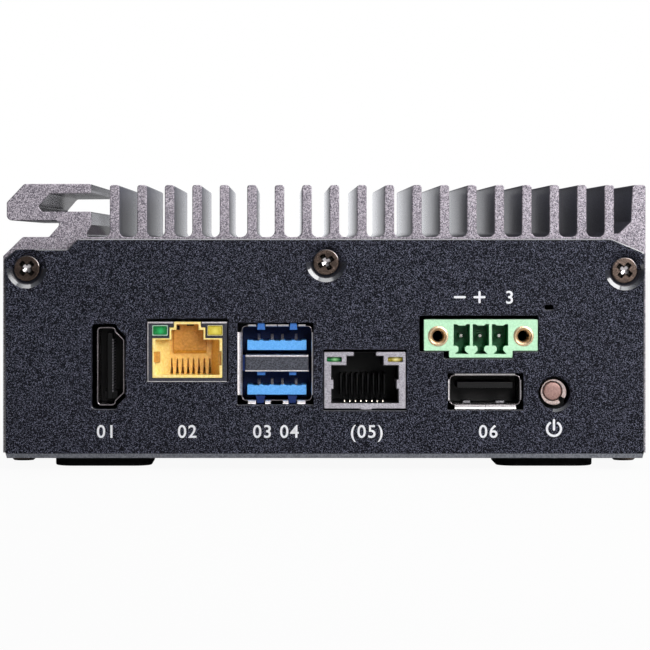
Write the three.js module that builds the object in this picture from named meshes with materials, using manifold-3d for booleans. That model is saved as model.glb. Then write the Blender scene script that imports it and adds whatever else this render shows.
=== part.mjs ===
// Fanless mini computer, 118 mm wide: a finned extrusion closed by two end panels and a bottom plate,
// with a mainboard, its connectors and a power switch inside. Millimetres, +Z up, the ports face -Y,
// and the origin lies on the floor under the middle of the case.
import * as THREE from 'three';
import { mergeVertices } from 'three/addons/utils/BufferGeometryUtils.js';
import Module from 'manifold-3d';

const wasm = await Module();
wasm.setup();

// Case, over all
const bodyWidth = 118;
const bodyDepth = 84;
const bodyHeight = 50.15;
const footHeight = 2;
const bottomThickness = 0.8;
const deckThickness = 3.9;
const skirtThickness = 3;
const railWidth = 6;
const railHeight = 5;

// Fins on the deck
const finCount = 19;
const finHeight = 9.55;
const finThickness = 1.76;
const finEdgeRadius = 0.45;
const finRootRadius = 1;
const stemToFin = 4.27;
const finToRightFin = 4.3;
const rightFinThickness = 2.39;
const rightFinTaper = 0.33;
const rightRootWidth = 2.33;
const rightRootHeight = 2.17;
const rightValleyRise = 0.6;

// Clamp hook along the left edge, insets from the side of the body and rises from the valley floor
const hookRise = 9.75;
const hookInset = 0.65;
const hookSlopeWidth = 3.21;
const hookSlopeHeight = 3.4;
const hookArmThickness = 1.73;
const hookArmEndInset = 16.17;
const hookUnderRise = 3.03;
const hookToeRadius = 0.95;
const hookLedgeRise = 4.66;
const pocketArmInset = 9.21;
const pocketTipInset = 6.43;
const pocketTipRise = 5.58;
const pocketFloorInset = 7.2;
const pocketRadius = 0.9;
const stemFaceInset = 16.2;
const stemFaceRise = 2.24;
const stemUndercut = 1.13;
const stemHeelInset = 9.6;
const stemHeelRadius = 0.7;
const stemBackInset = 8.31;
const shoulderWidth = 3.61;
const shoulderHeight = 3.51;

// End panels
const panelInset = 0.5;
const panelThickness = 3;
const panelRise = 3.25;
const panelShoulderWidth = 11.5;
const panelShoulderDrop = 1.7;
const panelShoulderRun = 1.9;
const panelLeftCutWidth = 2.13;
const panelLeftCutHeight = 1.61;
const panelRightCutWidth = 6;
const panelRightCutHeight = 2.5;
const bottomCornerWidth = 0.43;
const bottomCornerHeight = 0.5;
const windowWidth = 1.8;
const windowHeight = 1.1;
const windowX = 41;
const windowRise = 26.8;

// Panel screws, countersunk, and the bosses that they go into
const screwDiameter = 2.5;
const screwLength = 8;
const screwHeadDiameter = 4.7;
const screwHeadSink = 0.9;
const screwHeadRim = 0.15;
const screwSeatGap = 0.06;
const crossLength = 2.6;
const crossWidth = 0.6;
const crossDepth = 0.8;
const bossRadius = 3;
const leftScrewInset = 4.51;
const leftScrewDrop = 1.85;
const middleScrewX = 0.27;
const middleScrewDrop = 0.7;
const rightScrewInset = 4.1;
const rightScrewDrop = 2.2;

// Feet and bottom screws
const footSize = 18;
const footCorner = 3.5;
const footInset = 18.1;
const footSetback = 17;
const footEdge = 0.35;
const bottomScrewDiameter = 2.5;
const bottomScrewLength = 4;
const bottomScrewHeadDiameter = 4.4;
const bottomScrewHeadHeight = 1.2;
const bottomScrewSetback = 10;

// Clearances
const fitGap = 0.3;
const slideGap = 0.2;
const cutGap = 0.1;
const overrun = 1;

// Mainboard, what is soldered to it, and its standoffs and screws
const boardSideGap = 6;
const boardRearGap = 5;
const boardThickness = 1.6;
const boardSetback = 1;
const boardHoleInset = 3.5;
const boardFrontHoleInset = 12.5;
const standoffHeight = 6.3;
const standoffDiameter = 5;
const boardScrewDiameter = 2;
const boardScrewLength = 5;
const boardScrewHeadDiameter = 3.8;
const boardScrewHeadHeight = 1.6;
const chipHeight = 1.2;
const chipWidth = 12;
const chipDepth = 8;
const chipGap = 2;
const chipCount = 3;
const coilWidth = 7;
const coilHeight = 4;
const coilGap = 2;
const coilCount = 2;

// Processor and what leads its heat to the deck
const processorX = -20;
const processorY = 2;
const processorWidth = 28;
const processorHeight = 1.6;
const padHeight = 0.5;
const blockWidth = 30;
const blockFootWidth = 24;
const blockFootHeight = 6;

// Storage module on the right of the board
const moduleSideInset = 25.5;
const moduleWidth = 22;
const moduleLength = 30;
const moduleThickness = 0.8;
const moduleLift = 2.4;
const moduleTongue = 4;
const moduleChipWidth = 14;
const moduleChipMargin = 3.5;
const moduleChipGap = 1.5;
const moduleChipHeight = 1.2;
const socketWidth = 24;
const socketDepth = 8;
const socketHeight = 5;
const socketSetback = 3;
const postDiameter = 4.4;
const postNeckDiameter = 2.4;
const postHeadHeight = 0.8;

// Clock battery
const cellSideInset = 7.8;
const cellRearInset = 11.5;
const cellDiameter = 12.5;
const cellHeight = 3.2;
const cellEdge = 0.4;

// Video port, standing on its short side, with its keyed corners to the right
const video = {
  centre: -39.2,
  width: 5.2,
  height: 14.6,
  lift: 0.7,
  wall: 0.3,
  depth: 11,
  recess: 2.2,
  corner: 0.5,
  keyWidth: 1.55,
  keyStep: 0.7,
  keySlope: 1.5,
  tongueThickness: 1,
  tongueEndGap: 1.2,
  tongueOffset: -0.2,
  tongueRecess: 1.6,
  backDepth: 3,
  cutGapLeft: 0.65,
  cutGapRight: 0.45,
  cutGapEnds: 0.5,
};

// Two network jacks. The mouth is stepped, from the base up: main part, step, notch. A lamp fills
// each upper corner between the mouth and the edge of the shield.
const jackA = {
  centre: -25.1,
  lift: 5.16,
  recess: 0.3,
  depth: 21,
  wall: 0.3,
  base: 0.77,
  side: 0.88,
  mainWidth: 12.84,
  mainHeight: 7.25,
  stepWidth: 6.57,
  stepHeight: 1.97,
  notchWidth: 4.93,
  notchHeight: 1.08,
  rim: 0.45,
  lampGap: 0.3,
  lampLift: 0.44,
  lampSideInset: 0.81,
  lampTopInset: 0.67,
};
const jackB = {
  centre: 7.37,
  lift: 0.28,
  recess: 0.3,
  depth: 21,
  wall: 0.3,
  base: 0.99,
  side: 1.38,
  mainWidth: 12.23,
  mainHeight: 6.94,
  stepWidth: 6.58,
  stepHeight: 1.81,
  notchWidth: 3.97,
  notchHeight: 0.69,
  rim: 0,
  lampGap: 0.93,
  lampLift: 0.64,
  lampSideInset: 0.53,
  lampTopInset: 0.93,
};
const jackCavityDepth = 14;
const jackNotchDepth = 6;
const jackLampDepth = 9;
const jackLegWidth = 2;
const jackLegDepth = 6;
const contactCount = 8;
const contactPitch = 1.02;
const contactWidth = 0.45;
const contactThickness = 0.3;
const contactRise = 1.5;
const contactSetback = 1.2;
const contactBarDepth = 1.5;
const riserSetback = 3;
const riserChannel = 6;
const riserChannelHeight = 2;

// Two serial ports over each other in one shell
const stack = {
  centre: -8.73,
  innerWidth: 12.59,
  mouthHeights: [5.06, 5.15],
  dividerHeight: 3.22,
  lift: 1.89,
  wall: 0.3,
  depth: 17.5,
  recess: 0.4,
  lipReachLeft: 0.85,
  lipReachRight: 0.37,
  lipReachTop: 0.6,
  lipReachBottom: 0.75,
  lipDepth: 0.35,
  lipCorner: 1.1,
  backDepth: 3,
  tongueSideGap: 0.87,
  tongueRecess: 1.2,
  tongueHeight: 1.89,
  tongueRise: 0.87,
};

// Single serial port
const single = {
  centre: 29.33,
  innerWidth: 12.65,
  mouthHeights: [5.17],
  dividerHeight: 0,
  lift: 1.12,
  wall: 0.3,
  depth: 14,
  recess: 0.4,
  lipReachLeft: 0.35,
  lipReachRight: 0.35,
  lipReachTop: 0.4,
  lipReachBottom: 0.75,
  lipDepth: 0.35,
  lipCorner: 0.9,
  backDepth: 3,
  tongueSideGap: 1.17,
  tongueRecess: 1.2,
  tongueHeight: 1.3,
  tongueRise: 2.78,
};

// Three-way power terminal with threaded ears
const terminalX = 28.56;
const terminalStepHeight = 1.26;
const terminalStepWall = 0.86;
const terminalEarWall = 0.78;
const terminalRoof = 0.89;
const terminalBackWall = 1.6;
const terminalRecess = 0.3;
const terminalCutGap = 0.3;
const terminalPitch = 3.5;
const poleCount = 3;
const pocketWidth = 2.95;
const pocketHeight = 3.93;
const pocketRise = 0.95;
const pocketDepth = 7.6;
const keyNeckWidth = 1.2;
const keyNeckHeight = 0.9;
const keyFootWidth = 2.44;
const keyFootHeight = 0.6;
const insertGap = 0.12;
const insertRise = 2.7;
const insertDiameter = 3.7;
const insertBore = 2;
const insertLength = 7;
const pinThickness = 0.9;
const pinFrontSetback = 2.6;
const pinTailDepth = 1.4;
const pinBarHeight = 0.9;

// Power board over the single port, and the header that carries it
const powerBoardWidth = 22;
const powerBoardDepth = 20;
const powerBoardThickness = 1.6;
const powerBoardLift = 8;
const headerWidth = 11;
const headerDepth = 5;
const headerSetback = 3.5;

// Power switch
const switchX = 41.7;
const switchRise = 3.5;
const switchWidth = 5;
const switchHeight = 7;
const switchDepth = 6;
const switchSetback = 1.6;
const buttonDiameter = 3.35;
const buttonRecess = 0.9;
const buttonEdge = 0.25;
const buttonTravel = 0.5;
const buttonTail = 2.5;
const ringDiameter = 4.6;
const ringRecess = 1.1;
const buttonHoleDiameter = 5.9;
const buttonHoleChamfer = 0.4;
const buttonHoleShiftX = 0.3;
const buttonHoleShiftZ = -0.3;

// Facet counts
const roundSides = 32;
const smallSides = 20;
const filletSteps = 3;

// Places worked out from the sizes above
const leftX = -bodyWidth / 2;
const rightX = bodyWidth / 2;
const frontY = -bodyDepth / 2;
const rearY = bodyDepth / 2;
const frontInnerY = frontY + panelThickness;
const rearInnerY = rearY - panelThickness;
const plateTopZ = footHeight + bottomThickness;
const valleyZ = footHeight + bodyHeight - hookRise;
const deckUnderZ = valleyZ - deckThickness;
const finTopZ = valleyZ + finHeight;
const panelTopZ = deckUnderZ + panelRise;
const panelX = rightX - panelInset;
const boardUnderZ = plateTopZ + standoffHeight;
const boardZ = boardUnderZ + boardThickness;
const boardFrontY = frontInnerY + boardSetback;
const boardRearY = rearInnerY - boardRearGap;
const boardEdgeX = rightX - skirtThickness - boardSideGap;
const terminalStepWidth = terminalPitch * (poleCount - 1) + pocketWidth + 2 * terminalStepWall;
const terminalHeight = pocketRise + pocketHeight + terminalRoof;
const insertOffset = terminalStepWidth / 2 + insertGap + insertDiameter / 2;
const terminalWidth = 2 * insertOffset + insertDiameter + 2 * terminalEarWall;
const terminalZ = boardZ + powerBoardLift + powerBoardThickness;

const computer = new THREE.Group();

// Finishes: colour, roughness and metalness of each material
const finishes = {
  bareAluminium: [0x9c979f, 0.5, 0.85],
  darkPaint: [0x2f323d, 0.6, 0.35],
  screwNickel: [0x8d8278, 0.35, 0.9],
  rubber: [0x141416, 0.85, 0],
  solderMask: [0x14401f, 0.55, 0.05],
  brass: [0xc9a25c, 0.35, 0.9],
  chipResin: [0x1a1a1c, 0.5, 0],
  thermalPad: [0x8fa3ad, 0.9, 0],
  blackPlastic: [0x121214, 0.45, 0],
  shieldSteel: [0xb4b2b8, 0.35, 0.9],
  cellSteel: [0xc4c4c0, 0.3, 0.9],
  goldPlastic: [0xf0bd55, 0.5, 0],
  greyPlastic: [0x34353a, 0.6, 0],
  contactGold: [0xd8b46a, 0.3, 0.9],
  greenLens: [0x1f9a4a, 0.3, 0],
  yellowLens: [0xd2c344, 0.3, 0],
  bluePlastic: [0x3f8fe0, 0.45, 0],
  mintPlastic: [0xbfeec9, 0.5, 0],
  buttonPlastic: [0xc49c96, 0.5, 0],
  clearPlastic: [0xe2d3cc, 0.35, 0],
};

// A closed manifold-3d solid from a geometry whose shared corners are merged
function solidOf(geometry) {
  geometry.deleteAttribute('normal');
  geometry.deleteAttribute('uv');
  const welded = mergeVertices(geometry);
  const corners = welded.attributes.position.array;
  const index = Array.from(welded.index.array);
  const kept = [];
  let volume = 0;
  for (let i = 0; i < index.length; i += 3) {
    const [a, b, c] = index.slice(i, i + 3);
    if (a !== b && b !== c && c !== a) {
      kept.push([a, b, c]);
      const [p, q, r] = [a, b, c].map((k) => new THREE.Vector3().fromArray(corners, k * 3));
      volume += p.dot(q.cross(r));
    }
  }
  const facing = volume < 0 ? kept.map((face) => face.reverse()) : kept;
  const triVerts = Uint32Array.from(facing.flat());
  return new wasm.Manifold(new wasm.Mesh({ numProp: 3, vertProperties: corners, triVerts }));
}

// Moves every corner of a geometry by a rule from old to new coordinates
function reshaped(geometry, rule) {
  const position = geometry.attributes.position;
  for (let i = 0; i < position.count; i += 1) {
    position.setXYZ(i, ...rule(position.getX(i), position.getY(i), position.getZ(i)));
  }
  return solidOf(geometry);
}

// Block between two values on each axis
function block([x0, x1], [y0, y1], [z0, z1]) {
  return reshaped(new THREE.BoxGeometry(1, 1, 1), (x, y, z) => [
    x > 0 ? x1 : x0,
    y > 0 ? y1 : y0,
    z > 0 ? z1 : z0,
  ]);
}

// Range of a size about its middle
function span(middle, size) {
  return [middle - size / 2, middle + size / 2];
}

// Outline of [x, z] points carried along Y
function alongY(outline, from, to) {
  const shape = new THREE.Shape(outline.map(([x, z]) => new THREE.Vector2(x, z)));
  const geometry = new THREE.ExtrudeGeometry(shape, { depth: 1, bevelEnabled: false });
  return reshaped(geometry, (x, z, t) => [x, t > 0 ? from : to, z]);
}

// Outline of [y, z] points carried along X
function alongX(outline, from, to) {
  const shape = new THREE.Shape(outline.map(([y, z]) => new THREE.Vector2(y, z)));
  const geometry = new THREE.ExtrudeGeometry(shape, { depth: 1, bevelEnabled: false });
  return reshaped(geometry, (y, z, t) => [t > 0 ? to : from, y, z]);
}

// Profile of [radius, height] points turned about a line through a point, along Y or along Z
function turnedY([x0, z0], profile, sides) {
  const line = profile.map(([radius, y]) => new THREE.Vector2(radius, y));
  return reshaped(new THREE.LatheGeometry(line, sides), (x, y, z) => [x0 + x, y, z0 + z]);
}

function turnedZ([x0, y0], profile, sides) {
  const line = profile.map(([radius, z]) => new THREE.Vector2(radius, z));
  return reshaped(new THREE.LatheGeometry(line, sides), (x, z, y) => [x0 + x, y0 - y, z]);
}

// Plain round rods
function rodY(centre, radius, from, to, sides) {
  return turnedY(centre, [[0, from], [radius, from], [radius, to], [0, to]], sides);
}

function rodZ(centre, radius, from, to, sides) {
  return turnedZ(centre, [[0, from], [radius, from], [radius, to], [0, to]], sides);
}

// Outline from corners of [x, z, radius], with an arc at each corner that has a radius
function filleted(corners) {
  return corners.flatMap(([x, z, radius = 0], i) => {
    if (radius === 0) {
      return [[x, z]];
    }
    const corner = new THREE.Vector2(x, z);
    const before = new THREE.Vector2(...corners.at(i - 1)).sub(corner).normalize();
    const after = new THREE.Vector2(...corners[(i + 1) % corners.length]).sub(corner).normalize();
    const half = Math.acos(before.dot(after)) / 2;
    const middle = before.clone().add(after).normalize();
    const centre = middle.multiplyScalar(radius / Math.sin(half)).add(corner);
    const start = before.multiplyScalar(radius / Math.tan(half)).add(corner).sub(centre);
    const end = after.multiplyScalar(radius / Math.tan(half)).add(corner).sub(centre);
    const sweep = Math.atan2(start.cross(end), start.dot(end));
    const steps = Array.from({ length: filletSteps + 1 }, (_, k) => k / filletSteps);
    return steps.map((share) => {
      const point = start.clone().rotateAround(new THREE.Vector2(), sweep * share).add(centre);
      return [point.x, point.y];
    });
  });
}

// Rectangle with one corner radius
function rectangle([x0, x1], [z0, z1], radius = 0) {
  return filleted([[x0, z0, radius], [x1, z0, radius], [x1, z1, radius], [x0, z1, radius]]);
}

// Square pad with rounded corners that stands on the floor, its lower edge cut off
function pad([x0, y0], size, radius, edge, height) {
  const half = size / 2;
  const shape = new THREE.Shape(rectangle([-half, half], [-half, half], radius).map(([x, y]) => {
    return new THREE.Vector2(x, y);
  }));
  const layer = (lowerShare, from, to) => {
    const geometry = new THREE.ExtrudeGeometry(shape, { depth: 1, bevelEnabled: false });
    return reshaped(geometry, (x, y, t) => {
      const share = t > 0 ? 1 : lowerShare;
      return [x0 + x * share, y0 + y * share, t > 0 ? to : from];
    });
  };
  return joined(layer(1, edge, height), layer(1 - edge / half, 0, edge));
}

function joined(first, ...others) {
  return others.reduce((whole, other) => whole.add(other), first);
}

function cut(first, ...others) {
  return others.reduce((whole, other) => whole.subtract(other), first);
}

// Gives a solid its name, its finish and its place in the group
function piece(name, solid, finish) {
  const { vertProperties, triVerts } = solid.getMesh();
  const geometry = new THREE.BufferGeometry();
  geometry.setAttribute('position', new THREE.BufferAttribute(vertProperties, 3));
  geometry.setIndex(new THREE.BufferAttribute(triVerts, 1));
  geometry.computeVertexNormals();
  const [color, roughness, metalness] = finishes[finish];
  const mesh = new THREE.Mesh(geometry, new THREE.MeshStandardMaterial({ color, roughness, metalness }));
  mesh.name = name;
  computer.add(mesh);
}

// Middles of a row of equal steps
function row(middle, pitch, count) {
  return Array.from({ length: count }, (_, i) => middle + (i - (count - 1) / 2) * pitch);
}

// Panel screw places, shared by the panels, the bosses and the screws
const panelScrews = [
  ['left', leftX + leftScrewInset, deckUnderZ - leftScrewDrop],
  ['middle', middleScrewX, deckUnderZ - middleScrewDrop],
  ['right', rightX - rightScrewInset, deckUnderZ - rightScrewDrop],
];

// Bottom screw and foot places, one in each corner
const corners = [
  ['front_left', -1, -1],
  ['front_right', 1, -1],
  ['rear_left', -1, 1],
  ['rear_right', 1, 1],
];
const bottomScrewX = rightX - railWidth / 2;
const bottomScrewY = rearInnerY - bottomScrewSetback;
const bottomScrewBoreRadius = bottomScrewDiameter / 2 + fitGap;
const screwBoreRadius = screwDiameter / 2 + fitGap;

// Finned extrusion: two skirts with rails, the deck, the fins and the clamp hook, in one section
function heatsinkSection() {
  const hookLeftX = leftX + hookInset;
  const hookTopZ = valleyZ + hookRise;
  const armEndX = leftX + hookArmEndInset;
  const armUnderZ = hookTopZ - hookArmThickness;
  const stemFaceX = leftX + stemFaceInset;
  const rightFinX = rightX - rightFinThickness;
  const firstFinX = stemFaceX + stemToFin;
  const lastFinX = rightFinX - finToRightFin;
  const rootX = rightFinX - rightFinTaper;
  const rightValleyZ = valleyZ + rightValleyRise;
  const fins = row((firstFinX + lastFinX) / 2, (lastFinX - firstFinX) / (finCount - 1), finCount);
  const finCorners = fins.reverse().flatMap((x, i) => [
    [x + finThickness / 2, i === 0 ? rightValleyZ : valleyZ, i === 0 ? 0 : finRootRadius],
    [x + finThickness / 2, finTopZ, finEdgeRadius],
    [x - finThickness / 2, finTopZ, finEdgeRadius],
    [x - finThickness / 2, valleyZ, finRootRadius],
  ]);
  return filleted([
    [leftX, plateTopZ],
    [leftX + railWidth, plateTopZ],
    [leftX + railWidth, plateTopZ + railHeight],
    [leftX + skirtThickness, plateTopZ + railHeight],
    [leftX + skirtThickness, deckUnderZ],
    [rightX - skirtThickness, deckUnderZ],
    [rightX - skirtThickness, plateTopZ + railHeight],
    [rightX - railWidth, plateTopZ + railHeight],
    [rightX - railWidth, plateTopZ],
    [rightX, plateTopZ],
    [rightX, finTopZ, finEdgeRadius],
    [rightFinX, finTopZ, finEdgeRadius],
    [rootX, rightValleyZ + rightRootHeight],
    [rootX - rightRootWidth, rightValleyZ],
    ...finCorners,
    [stemFaceX - stemUndercut, valleyZ],
    [stemFaceX, valleyZ + stemFaceRise],
    [stemFaceX, valleyZ + hookLedgeRise],
    [leftX + pocketFloorInset, valleyZ + hookLedgeRise, pocketRadius / 2],
    [leftX + pocketTipInset, valleyZ + pocketTipRise],
    [leftX + pocketArmInset, armUnderZ, pocketRadius],
    [armEndX, armUnderZ],
    [armEndX, hookTopZ],
    [hookLeftX + hookSlopeWidth, hookTopZ],
    [hookLeftX, hookTopZ - hookSlopeHeight],
    [hookLeftX, valleyZ + hookUnderRise, hookToeRadius],
    [leftX + stemHeelInset + stemHeelRadius, valleyZ + hookUnderRise, stemHeelRadius],
    [leftX + stemBackInset, valleyZ],
    [leftX + shoulderWidth, valleyZ],
    [leftX, valleyZ - shoulderHeight],
  ]);
}

const bosses = panelScrews.map(([, x, z]) => {
  return rodY([x, z], bossRadius, frontInnerY, rearInnerY, roundSides);
});
const bossBores = panelScrews.map(([, x, z]) => {
  return rodY([x, z], screwBoreRadius, frontInnerY - overrun, rearInnerY + overrun, smallSides);
});
const railBores = corners.map(([, sideX, sideY]) => {
  const place = [sideX * bottomScrewX, sideY * bottomScrewY];
  const depth = bottomScrewLength + fitGap;
  return rodZ(place, bottomScrewBoreRadius, plateTopZ - overrun, plateTopZ + depth, smallSides);
});
const extrusion = alongY(heatsinkSection(), frontInnerY, rearInnerY);
piece('heatsink', cut(joined(extrusion, ...bosses), ...bossBores, ...railBores), 'bareAluminium');

// Outline shared by both end panels, lower at the left under the hook and sloped at the right
function panelOutline() {
  const left = -panelX;
  const right = panelX;
  const shoulderZ = panelTopZ - panelShoulderDrop;
  return [
    [left, plateTopZ + bottomCornerHeight],
    [left + bottomCornerWidth / 2, plateTopZ],
    [right - bottomCornerWidth / 2, plateTopZ],
    [right, plateTopZ + bottomCornerHeight],
    [right, panelTopZ - panelRightCutHeight],
    [right - panelRightCutWidth, panelTopZ],
    [left + panelShoulderWidth + panelShoulderRun, panelTopZ],
    [left + panelShoulderWidth, shoulderZ],
    [left + panelLeftCutWidth, shoulderZ],
    [left, shoulderZ - panelLeftCutHeight],
  ];
}

// Countersunk hole through a panel, from its face inward
function countersink(x, z, faceY, inward) {
  const headRadius = screwHeadDiameter / 2;
  const mouthRadius = headRadius + screwHeadSink + screwSeatGap;
  const coneDepth = mouthRadius - screwBoreRadius;
  return turnedY([x, z], [
    [0, faceY - inward * overrun],
    [mouthRadius + overrun, faceY - inward * overrun],
    [screwBoreRadius, faceY + inward * coneDepth],
    [screwBoreRadius, faceY + inward * (panelThickness + overrun)],
    [0, faceY + inward * (panelThickness + overrun)],
  ], roundSides);
}

// Countersunk screw with a cross recess, its head sunk under the panel face
function panelScrew(x, z, faceY, inward) {
  const headRadius = screwHeadDiameter / 2;
  const shankRadius = screwDiameter / 2;
  const topY = faceY + inward * screwHeadSink;
  const rimY = topY + inward * screwHeadRim;
  const neckY = rimY + inward * (headRadius - shankRadius);
  const tipY = topY + inward * screwLength;
  const body = turnedY([x, z], [
    [0, topY],
    [headRadius - screwHeadRim, topY],
    [headRadius - screwHeadRim, rimY],
    [shankRadius, neckY - inward * screwHeadRim],
    [shankRadius, tipY],
    [0, tipY],
  ], roundSides);
  const recess = [topY - inward * overrun, topY + inward * crossDepth].sort((a, b) => a - b);
  const upright = block(span(x, crossWidth), recess, span(z, crossLength));
  const level = block(span(x, crossLength), recess, span(z, crossWidth));
  return cut(body, joined(upright, level));
}

// Outline of the video port, grown by an offset, with its keyed corners to the right
function videoOutline(grow, growLeft = grow, growEnds = grow) {
  const [x0, x1] = [video.centre - video.width / 2 - growLeft, video.centre + video.width / 2 + grow];
  const bottom = boardZ + video.lift - growEnds;
  const top = boardZ + video.lift + video.height + growEnds;
  const keyX = x1 - video.keyWidth;
  return filleted([
    [x0, bottom, video.corner],
    [keyX, bottom, video.corner],
    [keyX, bottom + video.keyStep],
    [x1, bottom + video.keyStep + video.keySlope],
    [x1, top - video.keyStep - video.keySlope],
    [keyX, top - video.keyStep],
    [keyX, top, video.corner],
    [x0, top, video.corner],
  ]);
}

// Stepped outline of a network jack's mouth, grown by an offset
function mouthOutline(jack, grow) {
  const bottom = boardZ + jack.lift + jack.base;
  const mainTop = bottom + jack.mainHeight;
  const stepTop = mainTop + jack.stepHeight;
  const notchTop = stepTop + jack.notchHeight;
  const half = (width) => width / 2 + grow;
  return [
    [jack.centre - half(jack.mainWidth), bottom - grow],
    [jack.centre + half(jack.mainWidth), bottom - grow],
    [jack.centre + half(jack.mainWidth), mainTop + grow],
    [jack.centre + half(jack.stepWidth), mainTop + grow],
    [jack.centre + half(jack.stepWidth), stepTop + grow],
    [jack.centre + half(jack.notchWidth), stepTop + grow],
    [jack.centre + half(jack.notchWidth), notchTop + grow],
    [jack.centre - half(jack.notchWidth), notchTop + grow],
    [jack.centre - half(jack.notchWidth), stepTop + grow],
    [jack.centre - half(jack.stepWidth), stepTop + grow],
    [jack.centre - half(jack.stepWidth), mainTop + grow],
    [jack.centre - half(jack.mainWidth), mainTop + grow],
  ];
}

// Ranges of a network jack's shield, round its mouth
function jackBox(jack) {
  const bottom = boardZ + jack.lift;
  return {
    x: span(jack.centre, jack.mainWidth + 2 * jack.side),
    z: [bottom, bottom + jack.base + jack.mainHeight + jack.stepHeight + jack.notchHeight],
    faceY: frontY + jack.recess,
    backY: frontY + jack.recess + jack.depth,
  };
}

// Range grown at both ends
function grown([low, high], by) {
  return [low - by, high + by];
}

// Ranges of a serial port's shell inside its walls, and over its flared lips
function serialBox(port) {
  const bottom = boardZ + port.lift;
  const innerHeight = port.mouthHeights.reduce((sum, height) => sum + port.dividerHeight + height);
  return {
    x: span(port.centre, port.innerWidth),
    z: [bottom, bottom + innerHeight],
    lipX: [
      port.centre - port.innerWidth / 2 - port.lipReachLeft,
      port.centre + port.innerWidth / 2 + port.lipReachRight,
    ],
    lipZ: [bottom - port.lipReachBottom, bottom + innerHeight + port.lipReachTop],
    faceY: frontY + port.recess,
    backY: frontY + port.recess + port.depth,
  };
}

// T-shaped outline of the power terminal, grown by an offset
function terminalOutline(grow) {
  const ears = grown(span(terminalX, terminalWidth), grow);
  const step = grown(span(terminalX, terminalStepWidth), grow);
  const earZ = terminalZ + terminalStepHeight - grow;
  const top = terminalZ + terminalStepHeight + terminalHeight + grow;
  return [
    [step[0], terminalZ - grow],
    [step[1], terminalZ - grow],
    [step[1], earZ],
    [ears[1], earZ],
    [ears[1], top],
    [ears[0], top],
    [ears[0], earZ],
    [step[0], earZ],
  ];
}

const switchZ = boardZ + switchRise;
const switchY = frontInnerY + switchSetback;

// Every opening of the front panel
function frontCuts() {
  const through = [frontY - overrun, frontInnerY + overrun];
  const hole = (outline) => alongY(outline, ...through);
  const jackHole = (jack) => {
    const { x, z } = jackBox(jack);
    return hole(rectangle(grown(x, cutGap), grown(z, fitGap)));
  };
  const serialHole = (port) => {
    const { lipX, lipZ } = serialBox(port);
    return hole(rectangle(grown(lipX, cutGap), grown(lipZ, cutGap)));
  };
  const holeRadius = buttonHoleDiameter / 2;
  const holePlace = [switchX + buttonHoleShiftX, switchZ + buttonHoleShiftZ];
  const buttonHole = turnedY(holePlace, [
    [0, frontY - overrun],
    [holeRadius + buttonHoleChamfer + overrun, frontY - overrun],
    [holeRadius, frontY + buttonHoleChamfer],
    [holeRadius, frontInnerY + overrun],
    [0, frontInnerY + overrun],
  ], roundSides);
  const windowZ = plateTopZ + windowRise;
  return [
    hole(videoOutline(video.cutGapRight, video.cutGapLeft, video.cutGapEnds)),
    jackHole(jackA),
    jackHole(jackB),
    serialHole(stack),
    serialHole(single),
    hole(terminalOutline(terminalCutGap)),
    buttonHole,
    hole(rectangle(span(windowX, windowWidth), span(windowZ, windowHeight), windowHeight / 4)),
    ...panelScrews.map(([, x, z]) => countersink(x, z, frontY, 1)),
  ];
}

const rearCuts = panelScrews.map(([, x, z]) => countersink(x, z, rearY, -1));
piece('front_panel', cut(alongY(panelOutline(), frontY, frontInnerY), ...frontCuts()), 'darkPaint');
piece('rear_panel', cut(alongY(panelOutline(), rearInnerY, rearY), ...rearCuts), 'darkPaint');
panelScrews.forEach(([side, x, z]) => {
  piece(`front_screw_${side}`, panelScrew(x, z, frontY, 1), 'screwNickel');
  piece(`rear_screw_${side}`, panelScrew(x, z, rearY, -1), 'screwNickel');
});

// Bottom plate with its lower long edges cut off
const plateOutline = [
  [-panelX + bottomCornerWidth, footHeight],
  [panelX - bottomCornerWidth, footHeight],
  [panelX - bottomCornerWidth / 2, plateTopZ],
  [-panelX + bottomCornerWidth / 2, plateTopZ],
];
const plateBores = corners.map(([, sideX, sideY]) => {
  const place = [sideX * bottomScrewX, sideY * bottomScrewY];
  return rodZ(place, bottomScrewBoreRadius, footHeight - overrun, plateTopZ + overrun, smallSides);
});
piece('bottom_plate', cut(alongY(plateOutline, frontY, rearY), ...plateBores), 'darkPaint');

// Rubber feet and the screws that hold the bottom plate
corners.forEach(([corner, sideX, sideY]) => {
  const footPlace = [sideX * (rightX - footInset), sideY * (rearY - footSetback)];
  piece(`foot_${corner}`, pad(footPlace, footSize, footCorner, footEdge, footHeight), 'rubber');
  const headRadius = bottomScrewHeadDiameter / 2;
  const screw = turnedZ([sideX * bottomScrewX, sideY * bottomScrewY], [
    [0, footHeight - bottomScrewHeadHeight],
    [headRadius - footEdge, footHeight - bottomScrewHeadHeight],
    [headRadius, footHeight - bottomScrewHeadHeight + footEdge],
    [headRadius, footHeight],
    [bottomScrewDiameter / 2, footHeight],
    [bottomScrewDiameter / 2, plateTopZ + bottomScrewLength],
    [0, plateTopZ + bottomScrewLength],
  ], smallSides);
  piece(`bottom_screw_${corner}`, screw, 'screwNickel');
});

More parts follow.
